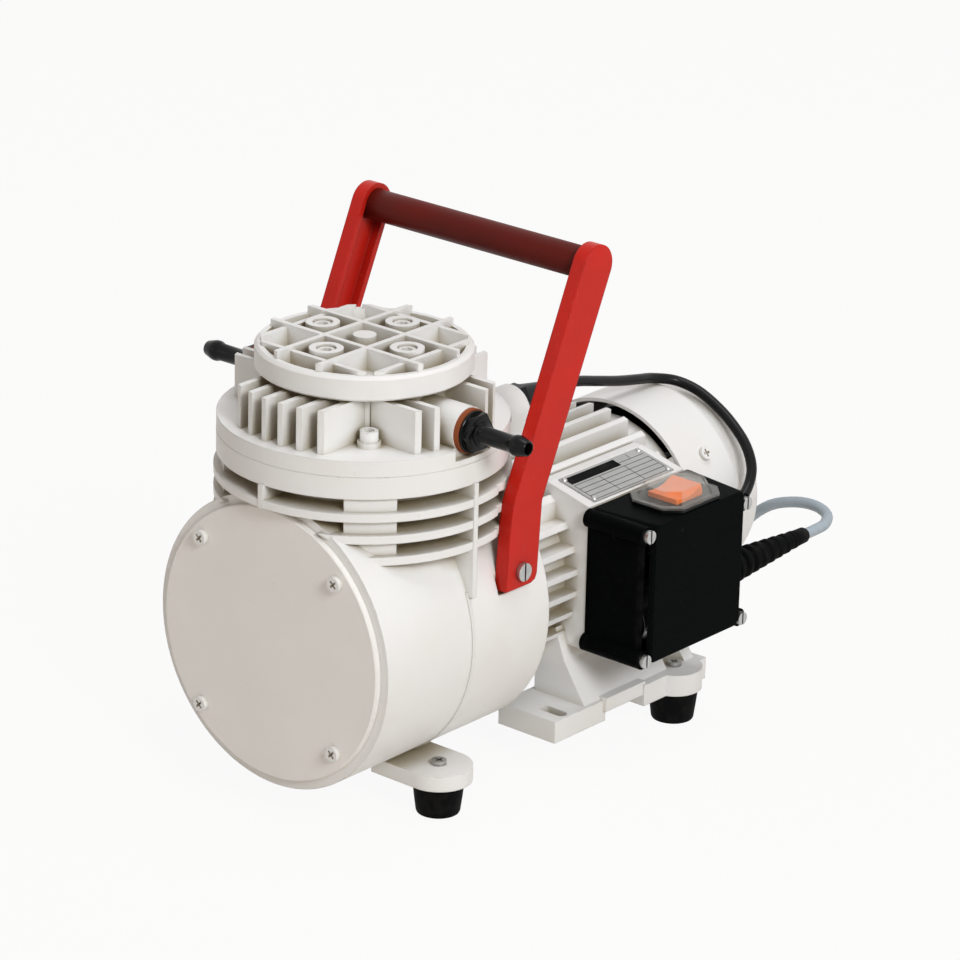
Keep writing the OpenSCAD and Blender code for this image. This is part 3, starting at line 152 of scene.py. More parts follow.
class Nodes:
    """Adds nodes to the tree of a material or of the world."""

    def __init__(self, tree):
        self.tree = tree

    def node(self, kind, settings=None, inputs=None, output=0):
        made = self.tree.nodes.new(kind)
        for key, value in (settings or {}).items():
            setattr(made, key, value)
        for key, value in (inputs or {}).items():
            self.feed(made.inputs[key], value)
        return Wire(self, made.outputs[output])

    def feed(self, socket, value):
        if isinstance(value, Wire):
            self.tree.links.new(value.socket, socket)
        elif socket.type == "RGBA" and len(value) == 3:
            socket.default_value = (*value, 1)
        else:
            socket.default_value = value

    def white_where_seen(self, lit, white, brightness, last):
        """Shows the white shader to rays that see it straight or mirrored, the lit one to the rest."""
        camera, glossy, through = (
            self.node("ShaderNodeLightPath", output=kind)
            for kind in ("Is Camera Ray", "Is Glossy Ray", "Is Transmission Ray")
        )
        seen = camera.larger(glossy).larger(through) * brightness
        shown = self.node("ShaderNodeMixShader", None, {0: seen, 1: lit, 2: white})
        self.feed(self.tree.nodes[last].inputs["Surface"], shown)


SHADE_RAYS = 6
ROUNDING_RAYS = 4


class Finish(Nodes):
    """A material with one Principled shader and the nodes that feed it."""

    def __init__(self, name, roughness=0.5, metallic=0.0, **constants):
        self.material = bpy.data.materials.new(name)
        self.material.use_nodes = True
        super().__init__(self.material.node_tree)
        self.shader = self.tree.nodes["Principled BSDF"]
        self.set(Roughness=roughness, Metallic=metallic, **constants)

    def set(self, **sockets):
        """Feeds the shader; Base_Color stands for Base Color."""
        for key, value in sockets.items():
            self.feed(self.shader.inputs[key.replace("_", " ")], value)
        return self

    def place(self, stretch=(1, 1, 1)):
        """Where a point lies on the resting pump, in metres."""
        where = self.node("ShaderNodeTexCoord", output=3)
        return self.node("ShaderNodeVectorMath", {"operation": "MULTIPLY"}, {0: where, 1: stretch})

    def noise(self, size, detail=2.0, stretch=(1, 1, 1), rough=0.5):
        return self.node(
            "ShaderNodeTexNoise",
            None,
            {"Vector": self.place(stretch), "Scale": 1 / size, "Detail": detail, "Roughness": rough},
        )

    def grains(self, size):
        return self.node(
            "ShaderNodeTexVoronoi", {"feature": "F1"}, {"Vector": self.place(), "Scale": 1 / size}
        )

    def open_sky(self, reach):
        """1 in the open, less in corners and between fins."""
        return self.node(
            "ShaderNodeAmbientOcclusion", {"samples": SHADE_RAYS}, {"Distance": reach}, output=1
        )

    def worn_edge(self, reach):
        """1 along outer edges, 0 on flats."""
        inward = self.node(
            "ShaderNodeAmbientOcclusion",
            {"samples": SHADE_RAYS, "inside": True},
            {"Distance": reach},
            output=1,
        )
        return (1 - inward).above(0.34, 0.10)

    def mix(self, share, first, second):
        return self.node(
            "ShaderNodeMix", {"data_type": "RGBA"}, {0: share, 6: first, 7: second}, output=2
        )

    def raised(self, height, depth, rounding=0.0):
        """Sets the shader's normal: a bump of the given depth, over rounded edges."""
        sockets = {"Height": height, "Distance": depth, "Strength": 1.0}
        if rounding:
            sockets["Normal"] = self.node(
                "ShaderNodeBevel", {"samples": ROUNDING_RAYS}, {"Radius": rounding}
            )
        return self.set(Normal=self.node("ShaderNodeBump", None, sockets))


def dress(finish, *names):
    """Gives CAD nodes a finish."""
    for name in names:
        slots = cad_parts[name].data.materials
        if len(slots):
            slots[0] = finish.material
        else:
            slots.append(finish.material)


# Finishes

# Colours of age and wear, and of painted shade, by the finish that they are mixed into
YELLOWED_ENAMEL = (0.78, 0.74, 0.66)
DUSTY_ENAMEL = (0.60, 0.54, 0.44)
CHIPPED_ENAMEL = (0.50, 0.49, 0.47)
COWL_INSIDE_PAINTED_SHADE = (0.016, 0.015, 0.013)
CHIPPED_SCREW = (0.40, 0.39, 0.37)
SCUFFED_PLATE = (0.40, 0.36, 0.33)
WORN_PLATE_EDGE = (0.42, 0.39, 0.36)
DULL_ZINC = (0.36, 0.36, 0.35)
CLEAN_ZINC = (0.66, 0.66, 0.64)
ZINC_IN_PAINTED_SHADE = (0.09, 0.085, 0.08)
DARK_OILED_STEEL = (0.12, 0.11, 0.10)
LIGHT_OILED_STEEL = (0.30, 0.29, 0.28)
DULL_ALLOY = (0.55, 0.55, 0.54)
CLEAN_ALLOY = (0.74, 0.74, 0.73)
SCRATCHED_HANDLE = (0.62, 0.16, 0.11)
CHIPPED_HANDLE = (0.10, 0.022, 0.016)
SPOTTED_BOX = (0.06, 0.055, 0.05)
RUBBED_BOX = (0.03, 0.03, 0.03)
DUSTY_RUBBER = (0.07, 0.065, 0.06)
CLEAR_COVER = (0.80, 0.82, 0.78)
DARK_COPPER = (0.20, 0.06, 0.02)
LIGHT_COPPER = (0.62, 0.25, 0.09)
DULL_PLATE = (0.34, 0.34, 0.33)
CLEAN_PLATE = (0.47, 0.47, 0.46)
SOILED_CORD = (0.22, 0.22, 0.22)
# Colours of small parts that no setting changes
INK = (0.004, 0.0045, 0.005)
TERMINAL_WHITE = (0.62, 0.61, 0.57)


def sizes():
    return bpy.context.scene.pump_sizes


def colours():
    return bpy.context.scene.pump_colours


def scaled(rgb, factor):
    """A colour made darker or lighter."""
    return [factor * channel for channel in rgb]


def enamel_on_castings(name, painted_shade_inside=False):
    f = Finish(name, Specular_IOR_Level=0.4)
    mottle = f.noise(40 * MM, 3.0)
    grain = f.noise(sizes().cast_grain, 3.0, rough=0.65)
    dust = f.noise(9 * MM, 4.0, rough=0.7)
    # Painted shade: the enamel turns to the shade colour in corners and between fins, where shade falls
    base = f.mix(f.open_sky(13 * MM).above(0.40, 0.30), colours().enamel_painted_shade, colours().enamel)
    base = f.mix(mottle.above(0.60, 0.18) * 0.22, base, YELLOWED_ENAMEL)
    base = f.mix(dust.above(0.72, 0.05) * 0.30, base, DUSTY_ENAMEL)
    chips = f.worn_edge(0.5 * MM) * f.noise(5 * MM, 3.0).above(0.63, 0.03)
    base = f.mix(chips * 0.8, base, CHIPPED_ENAMEL)
    # Painted shade: the cowl's inside is darkened nearly to black, where it lies deep in shade
    if painted_shade_inside:
        base = f.mix(f.open_sky(70 * MM).above(0.10, 0.08), COWL_INSIDE_PAINTED_SHADE, base)
    f.set(Base_Color=base, Roughness=0.36 + 0.18 * mottle + 0.10 * chips)
    return f.raised(grain + 1.6 * mottle - 0.8 * chips, 0.07 * MM, sizes().edge_round)


def enamel_on_screws():
    f = Finish("white enamel on screws", 0.38, Specular_IOR_Level=0.4)
    worn = f.worn_edge(0.4 * MM) * f.noise(2 * MM, 2.0).above(0.56, 0.06)
    # Painted shade: the enamel on the screws turns to the shade colour in tight corners, where shade falls
    base = f.mix(f.open_sky(3 * MM), colours().enamel_painted_shade, colours().enamel)
    f.set(Base_Color=f.mix(worn, base, CHIPPED_SCREW))
    return f.raised(f.noise(0.9 * MM, 2.0), 0.04 * MM, 0.3 * MM)


def enamel_on_plate():
    f = Finish("grey enamel on the front plate", Specular_IOR_Level=0.45)
    cloud = f.noise(55 * MM, 4.0)
    scuff = f.noise(6 * MM, 5.0, (1, 1, 7), 0.7).above(0.69, 0.04)
    base = f.mix(cloud, scaled(colours().plate, 0.93), scaled(colours().plate, 1.05))
    base = f.mix(scuff * 0.22, base, SCUFFED_PLATE)
    base = f.mix(f.worn_edge(0.5 * MM) * 0.5, base, WORN_PLATE_EDGE)
    f.set(Base_Color=base, Roughness=0.34 + 0.16 * cloud + 0.15 * scuff)
    return f.raised(f.noise(0.8 * MM, 2.0) + 2.0 * cloud, 0.025 * MM, 0.4 * MM)


def zinc_steel():
    f = Finish("zinc plated steel", metallic=1.0)
    fine = f.noise(0.5 * MM, 3.0, (1, 1, 0.25))
    stain = f.noise(2.4 * MM, 3.0)
    base = f.mix(stain, DULL_ZINC, CLEAN_ZINC)
    # Painted shade: the zinc darkens in tight corners, where shade falls
    f.set(Base_Color=f.mix(f.open_sky(2 * MM), ZINC_IN_PAINTED_SHADE, base))
    f.set(Roughness=0.24 + 0.22 * stain)
    return f.raised(fine, 0.03 * MM, 0.25 * MM)


def oiled_steel():
    f = Finish("oiled steel", metallic=1.0)
    stain = f.noise(5 * MM, 4.0)
    rings = f.noise(0.7 * MM, 2.0, (1, 0.15, 1))
    f.set(Base_Color=f.mix(stain, DARK_OILED_STEEL, LIGHT_OILED_STEEL))
    f.set(Roughness=0.25 + 0.25 * stain)
    return f.raised(rings, 0.02 * MM, 0.4 * MM)


def machined_alloy():
    f = Finish("machined alloy", metallic=1.0)
    rings = f.noise(0.6 * MM, 2.0, (0.2, 1, 0.2))
    cloud = f.noise(12 * MM, 3.0)
    f.set(Base_Color=f.mix(cloud, DULL_ALLOY, CLEAN_ALLOY))
    f.set(Roughness=0.26 + 0.16 * rings)
    return f.raised(rings, 0.02 * MM, 0.4 * MM)


def enamel_on_handle():
    gloss = {"Coat_Weight": 0.04, "Coat_Roughness": 0.15, "Specular_IOR_Level": 0.16}
    f = Finish("red enamel on the handle", **gloss)
    cloud = f.noise(30 * MM, 3.0)
    scratch = f.noise(1.4 * MM, 3.0, (1, 1, 0.06), 0.6).above(0.70, 0.03)
    red = colours().handle
    base = f.mix(cloud, scaled(red, 0.80), scaled(red, 1.15))
    # Painted shade: the red darkens in corners and under the bar, where shade falls
    base = f.mix(f.open_sky(9 * MM), scaled(red, 0.45), base)
    base = f.mix(scratch * 0.35, base, SCRATCHED_HANDLE)
    chips = f.worn_edge(0.45 * MM) * f.noise(3.5 * MM, 4.0).above(0.57, 0.05)
    f.set(Base_Color=f.mix(chips * 0.85, base, CHIPPED_HANDLE))
    f.set(Roughness=0.30 + 0.14 * cloud + 0.20 * chips)
    return f.raised(f.noise(1.0 * MM, 2.0) - 1.5 * chips, 0.03 * MM, 1.2 * MM)


def grip_sleeve():
    f = Finish("dark red grip sleeve", Specular_IOR_Level=0.14)
    worn = f.noise(22 * MM, 4.0)
    lines = f.noise(0.9 * MM, 2.0, (0.03, 1, 1))
    grip = colours().grip
    f.set(Base_Color=f.mix(worn, scaled(grip, 0.7), scaled(grip, 1.5)))
    f.set(Roughness=0.34 + 0.25 * worn)
    return f.raised(lines + 0.5 * f.noise(0.5 * MM), 0.06 * MM, 0.3 * MM)


def box_plastic():
    f = Finish("black grained plastic", Specular_IOR_Level=0.01)
    cells = f.grains(0.55 * MM)
    cloud = f.noise(28 * MM, 3.0)
    rub = f.worn_edge(0.6 * MM) * f.noise(6 * MM, 3.0).above(0.45, 0.12)
    box = colours().box
    base = f.mix(cloud, box, scaled(box, 1.9))
    base = f.mix(f.noise(1.6 * MM, 3.0).above(0.74, 0.03) * 0.4, base, SPOTTED_BOX)
    f.set(Base_Color=f.mix(rub * 0.15, base, RUBBED_BOX))
    f.set(Roughness=0.36 + 0.16 * cloud - 0.08 * rub)
    return f.raised(cells, 0.10 * MM, 0.7 * MM)


def soft_rubber(name, rgb, dusty):
    f = Finish(name, Specular_IOR_Level=0.03)
    cloud = f.noise(8 * MM, 4.0)
    base = f.mix(cloud.above(0.60, 0.14) * dusty, rgb, DUSTY_RUBBER)
    f.set(Base_Color=base, Roughness=0.52 + 0.20 * cloud)
    return f.raised(f.noise(0.45 * MM, 2.0) + 0.6 * cloud, 0.05 * MM, 0.3 * MM)


def gloss_plastic(name, rgb, roughness):
    f = Finish(name, Coat_Weight=0.05, Coat_Roughness=0.05, Specular_IOR_Level=0.15)
    cloud = f.noise(7 * MM, 3.0)
    f.set(Base_Color=f.mix(cloud, rgb, scaled(rgb, 1.5)))
    f.set(Roughness=roughness + 0.14 * cloud)
    return f.raised(f.noise(1.2 * MM, 2.0), 0.02 * MM, 0.3 * MM)


def clear_cover():
    f = Finish("clear soft cover", Specular_IOR_Level=0.6, Base_Color=CLEAR_COVER)
    rim = f.node("ShaderNodeLayerWeight", None, {"Blend": 0.35}, output=1)
    haze = f.noise(9 * MM, 3.0)
    f.set(Alpha=0.01 + 0.36 * rim + 0.05 * haze, Roughness=0.06 + 0.12 * haze)
    return f.raised(f.noise(3 * MM, 2.0), 0.04 * MM, 0.4 * MM)


def wound_copper():
    f = Finish("lacquered copper wire", metallic=0.9, Coat_Weight=0.4)
    strands = f.noise(0.8 * MM, 1.0, (1, 0.2, 1))
    f.set(Base_Color=f.mix(strands, DARK_COPPER, LIGHT_COPPER), Roughness=0.28 + 0.2 * strands)
    return f.raised(strands, 0.25 * MM, 0.8 * MM)


def bare_plate():
    f = Finish("anodised rating plate", metallic=0.75)
    brush = f.noise(0.35 * MM, 2.0, (1, 0.04, 1))
    cloud = f.noise(14 * MM, 3.0)
    f.set(Base_Color=f.mix(cloud, DULL_PLATE, CLEAN_PLATE), Roughness=0.34 + 0.2 * brush)
    return f.raised(brush, 0.015 * MM, 0.2 * MM)


def cord_sheath():
    f = Finish("pale cord sheath", Specular_IOR_Level=0.35)
    cloud = f.noise(16 * MM, 4.0)
    sheath = colours().cord
    base = f.mix(cloud, scaled(sheath, 0.85), scaled(sheath, 1.12))
    base = f.mix(f.noise(2.5 * MM, 4.0).above(0.66, 0.06) * 0.3, base, SOILED_CORD)
    f.set(Base_Color=base, Roughness=0.42 + 0.2 * cloud)
    return f.raised(f.noise(0.6 * MM, 2.0) + 0.8 * cloud, 0.05 * MM)


# Shapes


def finished(name, bm, finish, body="pump_body", sharp=35.0):
    """Turns a bmesh into a piece that rides on a CAD body."""
    bmesh.ops.recalc_face_normals(bm, faces=bm.faces)
    mesh = bpy.data.meshes.new(name)
    bm.to_mesh(mesh)
    bm.free()
    mesh.shade_smooth()
    mesh.set_sharp_from_angle(angle=math.radians(sharp))
    mesh.materials.append(finish.material)
    piece = bpy.data.objects.new(name, mesh)
    bpy.context.scene.collection.objects.link(piece)
    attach(piece, body)
    return piece


def line_piece(name, points, diameter, finish):
    """A round cord along points of the frame, which rides on the pump's body."""
    curve = bpy.data.curves.new(name, "CURVE")
    curve.dimensions = "3D"
    curve.bevel_depth = diameter / 2
    curve.bevel_resolution = 6
    curve.use_fill_caps = True
    spline = curve.splines.new("POLY")
    spline.points.add(len(points) - 1)
    for point, where in zip(spline.points, points):
        point.co = (*where, 1)
    curve.materials.append(finish.material)
    piece = bpy.data.objects.new(name, curve)
    bpy.context.scene.collection.objects.link(piece)
    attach(piece, "pump_body")
    return piece


def smooth_path(points, steps):
    """Points on a smooth curve through the given ones, as the CAD tubes follow it."""
    made = []
    for i in range(len(points) - 1):
        a, b, c = points[max(i - 1, 0)], points[i], points[i + 1]
        d = points[min(i + 2, len(points) - 1)]
        for k in range(steps):
            t = k / steps
            square_term = (2 * a - 5 * b + 4 * c - d) * t**2
            cube_term = (3 * b - a - 3 * c + d) * t**3
            made.append(0.5 * (2 * b + (c - a) * t + square_term + cube_term))
    return made + [points[-1]]


def turned(bm, origin, axis, profile, steps=48, turn=0.0):
    """Adds a turned form: pairs of place along the axis and radius, in millimetres."""
    axis = Vector(axis).normalized()
    side = UPWARD if abs(axis.z) < 0.9 else Vector((1, 0, 0))
    other = axis.cross(side)
    rings = []
    for along, radius in profile:
        middle = origin + axis * along * MM
        if radius < 1e-6:
            rings.append([bm.verts.new(middle)] * steps)
            continue
        ring = []
        for k in range(steps):
            angle = turn + 2 * math.pi * k / steps
            outward = side * math.cos(angle) + other * math.sin(angle)
            ring.append(bm.verts.new(middle + outward * radius * MM))
        rings.append(ring)
    for one, two in zip(rings, rings[1:]):
        for k in range(steps):
            corners = []
            for vert in (one[k], one[(k + 1) % steps], two[(k + 1) % steps], two[k]):
                if vert not in corners:
                    corners.append(vert)
            bm.faces.new(corners)


def block(bm, place, size, rounding, segments):
    """Adds a block with rounded edges: a matrix, a size and a radius in millimetres."""
    cube = bmesh.ops.create_cube(bm, size=1.0)["verts"]
    for vert in cube:
        vert.co = Vector(c * s * MM for c, s in zip(vert.co, size))
    edges = list({edge for vert in cube for edge in vert.link_edges})
    made = bmesh.ops.bevel(
        bm, geom=edges, offset=rounding * MM, segments=segments, profile=0.5, affect="EDGES"
    )
    verts = {vert for face in made["faces"] for vert in face.verts}
    bmesh.ops.transform(bm, matrix=place, verts=list(verts))


def band(bm, centre, outward, along, half_wide, half_high, thick, wide):
    """Adds a flat strap round a bundle whose section reaches half_wide and half_high from its middle."""
    steps = 40
    squareness = 0.45
    loops = []
    for grow, shift in ((0, -0.5), (thick, -0.5), (thick, 0.5), (0, 0.5)):
        loop = []
        for k in range(steps):
            angle = 2 * math.pi * k / steps
            x, z = (math.copysign(abs(v) ** squareness, v) for v in (math.cos(angle), math.sin(angle)))
            sideways = outward * x * (half_wide + grow)
            upwards = UPWARD * z * (half_high + grow)
            loop.append(bm.verts.new(centre + (sideways + upwards + along * shift * wide) * MM))
        loops.append(loop)
    for one, two in zip(loops, loops[1:] + loops[:1]):
        for k in range(steps):
            j = (k + 1) % steps
            bm.faces.new((one[k], one[j], two[j], two[k]))


# Mains cord and motor lead

CORD_ROUTE = [
    (88, 228, -4.6), (88, 236, -4.6), (87, 246, -4.5), (81, 256, -4), (70, 262, -4), (56, 264, -6),
    (40, 264, -12), (26, 264, -24), (16, 263, -40), (8, 262, -58), (-2, 261, -73), (-16, 260, -82),
    (-32, 259.5, -84.2), (-48, 257.5, -84.2), (-63, 254.4, -84.2), (-78, 250.7, -84.2), (-97, 245.3, -84.2),
]
LEAD_ROUTE = [
    (0, 122, 75), (0, 140, 74.5), (0, 156, 72), (0, 172, 68), (0, 188, 64), (0, 203, 61), (0, 215, 58.6),
    (6, 226, 56), (17, 230, 52.5), (29, 231, 46.5), (40, 230, 40), (50, 228, 32), (57, 224, 23),
    (60.5, 216, 15), (62.5, 204, 10), (65.5, 194, 8.5), (70, 186, 8.8), (74, 180.5, 9.7), (75, 176, 10),
    (75, 166, 10),
]

COIL_MIDDLE = (-108, 200)
COIL_START_R = 43.4
COIL_TURNS = 7.35
TURN_PITCH = 5.66
POINTS_PER_TURN = 24
# Share of a turn in which the cord climbs to the upper layer, and the rise in radii of the cord
CLIMB_TURNS = 0.25
LAYER_RISE = 2.01


def coil_points():
    """Points of two layers, wound inwards on the floor and outwards above, and the end's heading."""
    half = COIL_TURNS / 2
    cord_r = sizes().cord_diameter / MM / 2
    points = []
    for i in range(int(COIL_TURNS * POINTS_PER_TURN) + 1):
        turn = i / POINTS_PER_TURN
        radius = COIL_START_R - TURN_PITCH * turn
        height = cord_r
        if turn >= half:
            radius = COIL_START_R - TURN_PITCH * (half - max(0, turn - half - CLIMB_TURNS))
            share = min(1, (turn - half) / CLIMB_TURNS)
            height = cord_r + LAYER_RISE * cord_r * (3 * share**2 - 2 * share**3)
        angle = math.pi / 2 + 2 * math.pi * turn
        x = COIL_MIDDLE[0] + radius * math.cos(angle)
        y = COIL_MIDDLE[1] + radius * math.sin(angle)
        points.append(at(x, y, FLOOR_Z + height))
    heading = (points[-1] - points[-2]).normalized()
    return points, Vector((heading.x, heading.y, 0)).normalized()


# The strain relief lies round the first stretch of the cord, from the box to the cord's exit
RELIEF_LENGTH = 60
RELIEF_RINGS = 8
RING_PITCH = 6.75
RING_R_AT_BOX = 8.2
RING_R_AT_TIP = 4.5
SLEEVE_R_AT_BOX = 6
SLEEVE_R_AT_TIP = 3.9
SLEEVE_IN_BOX = 3


def strain_relief(finish):
    """Ribbed sleeve that tapers from the box towards its tip."""
    profile = [(-SLEEVE_IN_BOX, 0), (-SLEEVE_IN_BOX, SLEEVE_R_AT_BOX)]
    for i in range(RELIEF_RINGS):
        start = i * RING_PITCH
        ring_r = RING_R_AT_BOX + (RING_R_AT_TIP - RING_R_AT_BOX) * i / (RELIEF_RINGS - 1)
        sleeve_r = SLEEVE_R_AT_BOX + (SLEEVE_R_AT_TIP - SLEEVE_R_AT_BOX) * start / RELIEF_LENGTH
        profile += [(start, sleeve_r), (start + 0.3, ring_r - 0.7), (start + 1.0, ring_r)]
        profile += [(start + 3.2, ring_r), (start + 3.9, ring_r - 0.7), (start + 4.2, sleeve_r - 0.2)]
    profile += [(RELIEF_LENGTH - 1.0, SLEEVE_R_AT_TIP), (RELIEF_LENGTH, SLEEVE_R_AT_TIP - 0.5)]
    profile += [(RELIEF_LENGTH, 0)]
    exit_x, exit_y, exit_z = CORD_ROUTE[0]
    bm = bmesh.new()
    turned(bm, at(exit_x, exit_y - RELIEF_LENGTH, exit_z), (0, 1, 0), profile)
    return finished("strain_relief_sleeve", bm, finish)


# The cord's straight tail from the coil to the plug, and the height of the plug's axis over the floor
TAIL_LENGTH = 37.4
TAIL_IN_PLUG = 3
PLUG_AXIS = 7.5
PLUG_MIDDLE = 19
# Sizes along the plug, across it and in height
PLUG_BODY = (34, 20, 14.6)
PLUG_FACE = (7, 24, 15)
GRIP_RIB = (1.6, 20.8, 9)
GRIP_RIBS = 5
RIB_PITCH = 4
PIN_SPACING = 19
# Pairs of distance along the plug and radius, from the boot's start and from the plug's middle
BOOT_PROFILE = [
    (-8.4, 0), (-8.4, 3.4), (-6.6, 4.2), (-5.6, 3.7), (-4.2, 4.8), (-3.2, 4.2),
    (-1.6, 5.6), (1, 6.2), (4, 6.2), (4, 0),
]
PIN_PROFILE = [(17, 0), (17, 2.4), (36, 2.4), (37.3, 1.9), (38, 0.9), (38, 0)]


def mains_plug(body_finish, pin_finish, back, heading):
    """Two-pin plug with a ribbed grip and a short boot."""
    middle = back + heading * PLUG_MIDDLE * MM
    across = UPWARD.cross(heading)
    place = Matrix.Translation(middle) @ Matrix((heading, across, UPWARD)).transposed().to_4x4()
    body = bmesh.new()

    def part(along, size, rounding, segments):
        block(body, place @ Matrix.Translation(Vector((along, 0, 0)) * MM), size, rounding, segments)

    part(2, PLUG_BODY, 4.5, 5)
    part(15.5, PLUG_FACE, 2.4, 4)
    for i in range(GRIP_RIBS):
        part(RIB_PITCH * i - 9, GRIP_RIB, 0.7, 2)
    turned(body, back, heading, BOOT_PROFILE, 32)
    pins = bmesh.new()
    for side in (-PIN_SPACING / 2, PIN_SPACING / 2):
        turned(pins, middle + across * side * MM, heading, PIN_PROFILE, 24)
    plug = finished("mains_plug_body", body, body_finish)
    return plug, finished("mains_plug_pins", pins, pin_finish)


# The tie's direction and distance from the coil's middle, and the half section of the turns it holds
TIE_ANGLE = 40
TIE_FROM_MIDDLE = 33
TIE_HEIGHT = 6.1
TIE_HALF_WIDE = 13.2
TIE_HALF_HIGH = 5.4
TIE_THICK = 0.6
TIE_BREADTH = 9


def cord_tie(finish):
    """Rubber strap round the turns of the coil."""
    angle = math.radians(TIE_ANGLE)
    outward = Vector((math.cos(angle), math.sin(angle), 0))
    along = UPWARD.cross(outward)
    middle = at(*COIL_MIDDLE, FLOOR_Z + TIE_HEIGHT) + outward * TIE_FROM_MIDDLE * MM
    bm = bmesh.new()
    band(bm, middle, outward, along, TIE_HALF_WIDE, TIE_HALF_HIGH, TIE_THICK, TIE_BREADTH)
    return finished("cord_tie", bm, finish)


def lay_cord():
    size = sizes()
    route = smooth_path([at(*p) for p in CORD_ROUTE], 4)
    coil, heading = coil_points()
    tail_end = coil[-1] + heading * TAIL_LENGTH * MM
    tail_end.z = PLUG_AXIS * MM
    tail = [coil[-1].lerp(tail_end, share) for share in (0.3, 0.6, 1.0)]
    tail.append(tail_end + heading * TAIL_IN_PLUG * MM)
    cord = line_piece("mains_cord_line", route + coil + tail, size.cord_diameter, cord_sheath())
    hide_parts("mains_cord", "cord_coil")
    black = gloss_plastic("black plug plastic", colours().nozzle, 0.24)
    plug, pins = mains_plug(black, zinc_steel(), tail_end, heading)
    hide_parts("cord_plug")
    sleeve = strain_relief(soft_rubber("strain relief rubber", colours().rubber, 0.25))
    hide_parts("strain_relief")
    tie = cord_tie(soft_rubber("cord tie rubber", colours().rubber, 0.35))
    at(*CORD_ROUTE[0])


def lay_motor_lead():
    size = sizes()
    path = smooth_path([at(*p) for p in LEAD_ROUTE], 5)
    sheath = gloss_plastic("black lead sheath", colours().rubber, 0.22)
    lead = line_piece("motor_lead_line", path, size.lead_diameter, sheath)
    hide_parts("motor_lead")
    at(*LEAD_ROUTE[0])
    dress(soft_rubber("lead sleeve rubber", colours().rubber, 0.2), "lead_grommet")
    dress(gloss_plastic("black gland plastic", colours().nozzle, 0.26), "lead_gland")


# Hose nozzles, handle, plate, box, switch and feet

NOZZLE_Z = 104
NOZZLE_SIDES = {"outlet_nozzle": 1, "inlet_nozzle": -1}
# Pairs of distance from the neck's axis and radius
NOZZLE_SEAT = [
    (34, 0), (34, 6.4), (62.9, 6.4), (63.2, 6.9), (66.2, 6.9), (66.2, 9.7), (66.5, 10.0), (67.2, 10.0),
    (67.5, 9.7), (67.5, 0),
]
NOZZLE_HEXAGON = [(67.3, 0), (67.3, 9.8), (70.2, 9.8), (71, 9.0), (71, 0)]
NOZZLE_TUBE = [
    (70.8, 7.6), (71.4, 7.6), (71.6, 5.9), (72.6, 5.7), (73.1, 4.5), (74.0, 4.15), (89.6, 4.15),
    (90.0, 4.3), (91.6, 4.85), (92.2, 4.95), (93.8, 4.95), (94.4, 4.8), (98.2, 3.75), (98.8, 3.45),
    (99.0, 3.1), (98.8, 2.75), (98, 2.6), (76, 2.6), (76, 0),
]


def hose_nozzles():
    """Each nozzle has a seat, a bevelled hexagon and a tube with a barb, open at its tip."""
    black = gloss_plastic("glossy black nozzle plastic", colours().nozzle, 0.10)
    start = at(0, 0, NOZZLE_Z)
    for node, side in NOZZLE_SIDES.items():
        axis = (side, 0, 0)
        bm = bmesh.new()
        turned(bm, start, axis, NOZZLE_SEAT)
        turned(bm, start, axis, NOZZLE_HEXAGON, 6, math.pi / 6)
        turned(bm, start, axis, NOZZLE_TUBE)
        piece = finished(node + "_moulded", bm, black, sharp=40)
        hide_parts(node)
    dress(soft_rubber("brown seal rubber", colours().seal, 0.1), "nozzle_seals")


GRIP_MIDDLE = (0, 79.5, 164.6)
GRIP_HALF = 69
GRIP_R = 7.6


def handle():
    """Enamelled arms and bar, with a plain sleeve round the bar."""
    dress(enamel_on_handle(), "carry_handle")
    end = [(GRIP_HALF, 0), (GRIP_HALF, GRIP_R - 1.0)]
    end += [(GRIP_HALF - 0.2, GRIP_R - 0.4), (GRIP_HALF - 0.8, GRIP_R)]
    profile = [(-along, radius) for along, radius in end]
    profile += [(along, GRIP_R) for along in (-40, 0, 40)]
    profile += end[::-1]
    bm = bmesh.new()
    turned(bm, at(*GRIP_MIDDLE), (1, 0, 0), profile)
    sleeve = finished("grip_sleeve", bm, grip_sleeve())
    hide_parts("handle_grip")


# The rating plate lies on the slope that falls from the motor frame's pad to the box's edge
PAD_EDGE_X = 35
BOX_EDGE_X = 60.5
BOX_TOP_Z = 40
PAD_RISE = 6
PLATE_MIDDLE_Y = 128.35
PLATE_THICK = 0.8
# Blank fields of the plate: middle across and along, width and length, on a plate of 23 by 60 mm
RULE = 0.3
PLATE_FIELDS = [(-7.3, -9.5, 5.6, 37), (-8.6, 18.5, 3.0, RULE), (-6.4, 18.5, RULE, 19)]
PLATE_FIELDS += [(x, 0, RULE, 56) for x in (-3.2, 0.2, 3.6, 7.0, 10.4)]
PLATE_FIELDS += [(3.6, y, 13.9, RULE) for y in (-28, -9.5, 9.5, 28)]


def rating_plate():
    """A bare plate with printed fields and no words."""
    dress(bare_plate(), "rating_plate")
    middle = at((PAD_EDGE_X + BOX_EDGE_X) / 2, PLATE_MIDDLE_Y, BOX_TOP_Z + PAD_RISE / 2)
    slope = math.atan2(PAD_RISE, BOX_EDGE_X - PAD_EDGE_X)
    place = Matrix.Translation(middle) @ Matrix.Rotation(slope, 4, "Y")
    height = sizes().print_height / MM
    bm = bmesh.new()
    for x, y, wide, long in PLATE_FIELDS:
        shift = Matrix.Translation(Vector((x, y, PLATE_THICK + height / 2)) * MM)
        block(bm, place @ shift, (wide, long, height), height * 0.4, 1)
    fields = finished("rating_plate_fields", bm, soft_rubber("print on the rating plate", INK, 0.2))


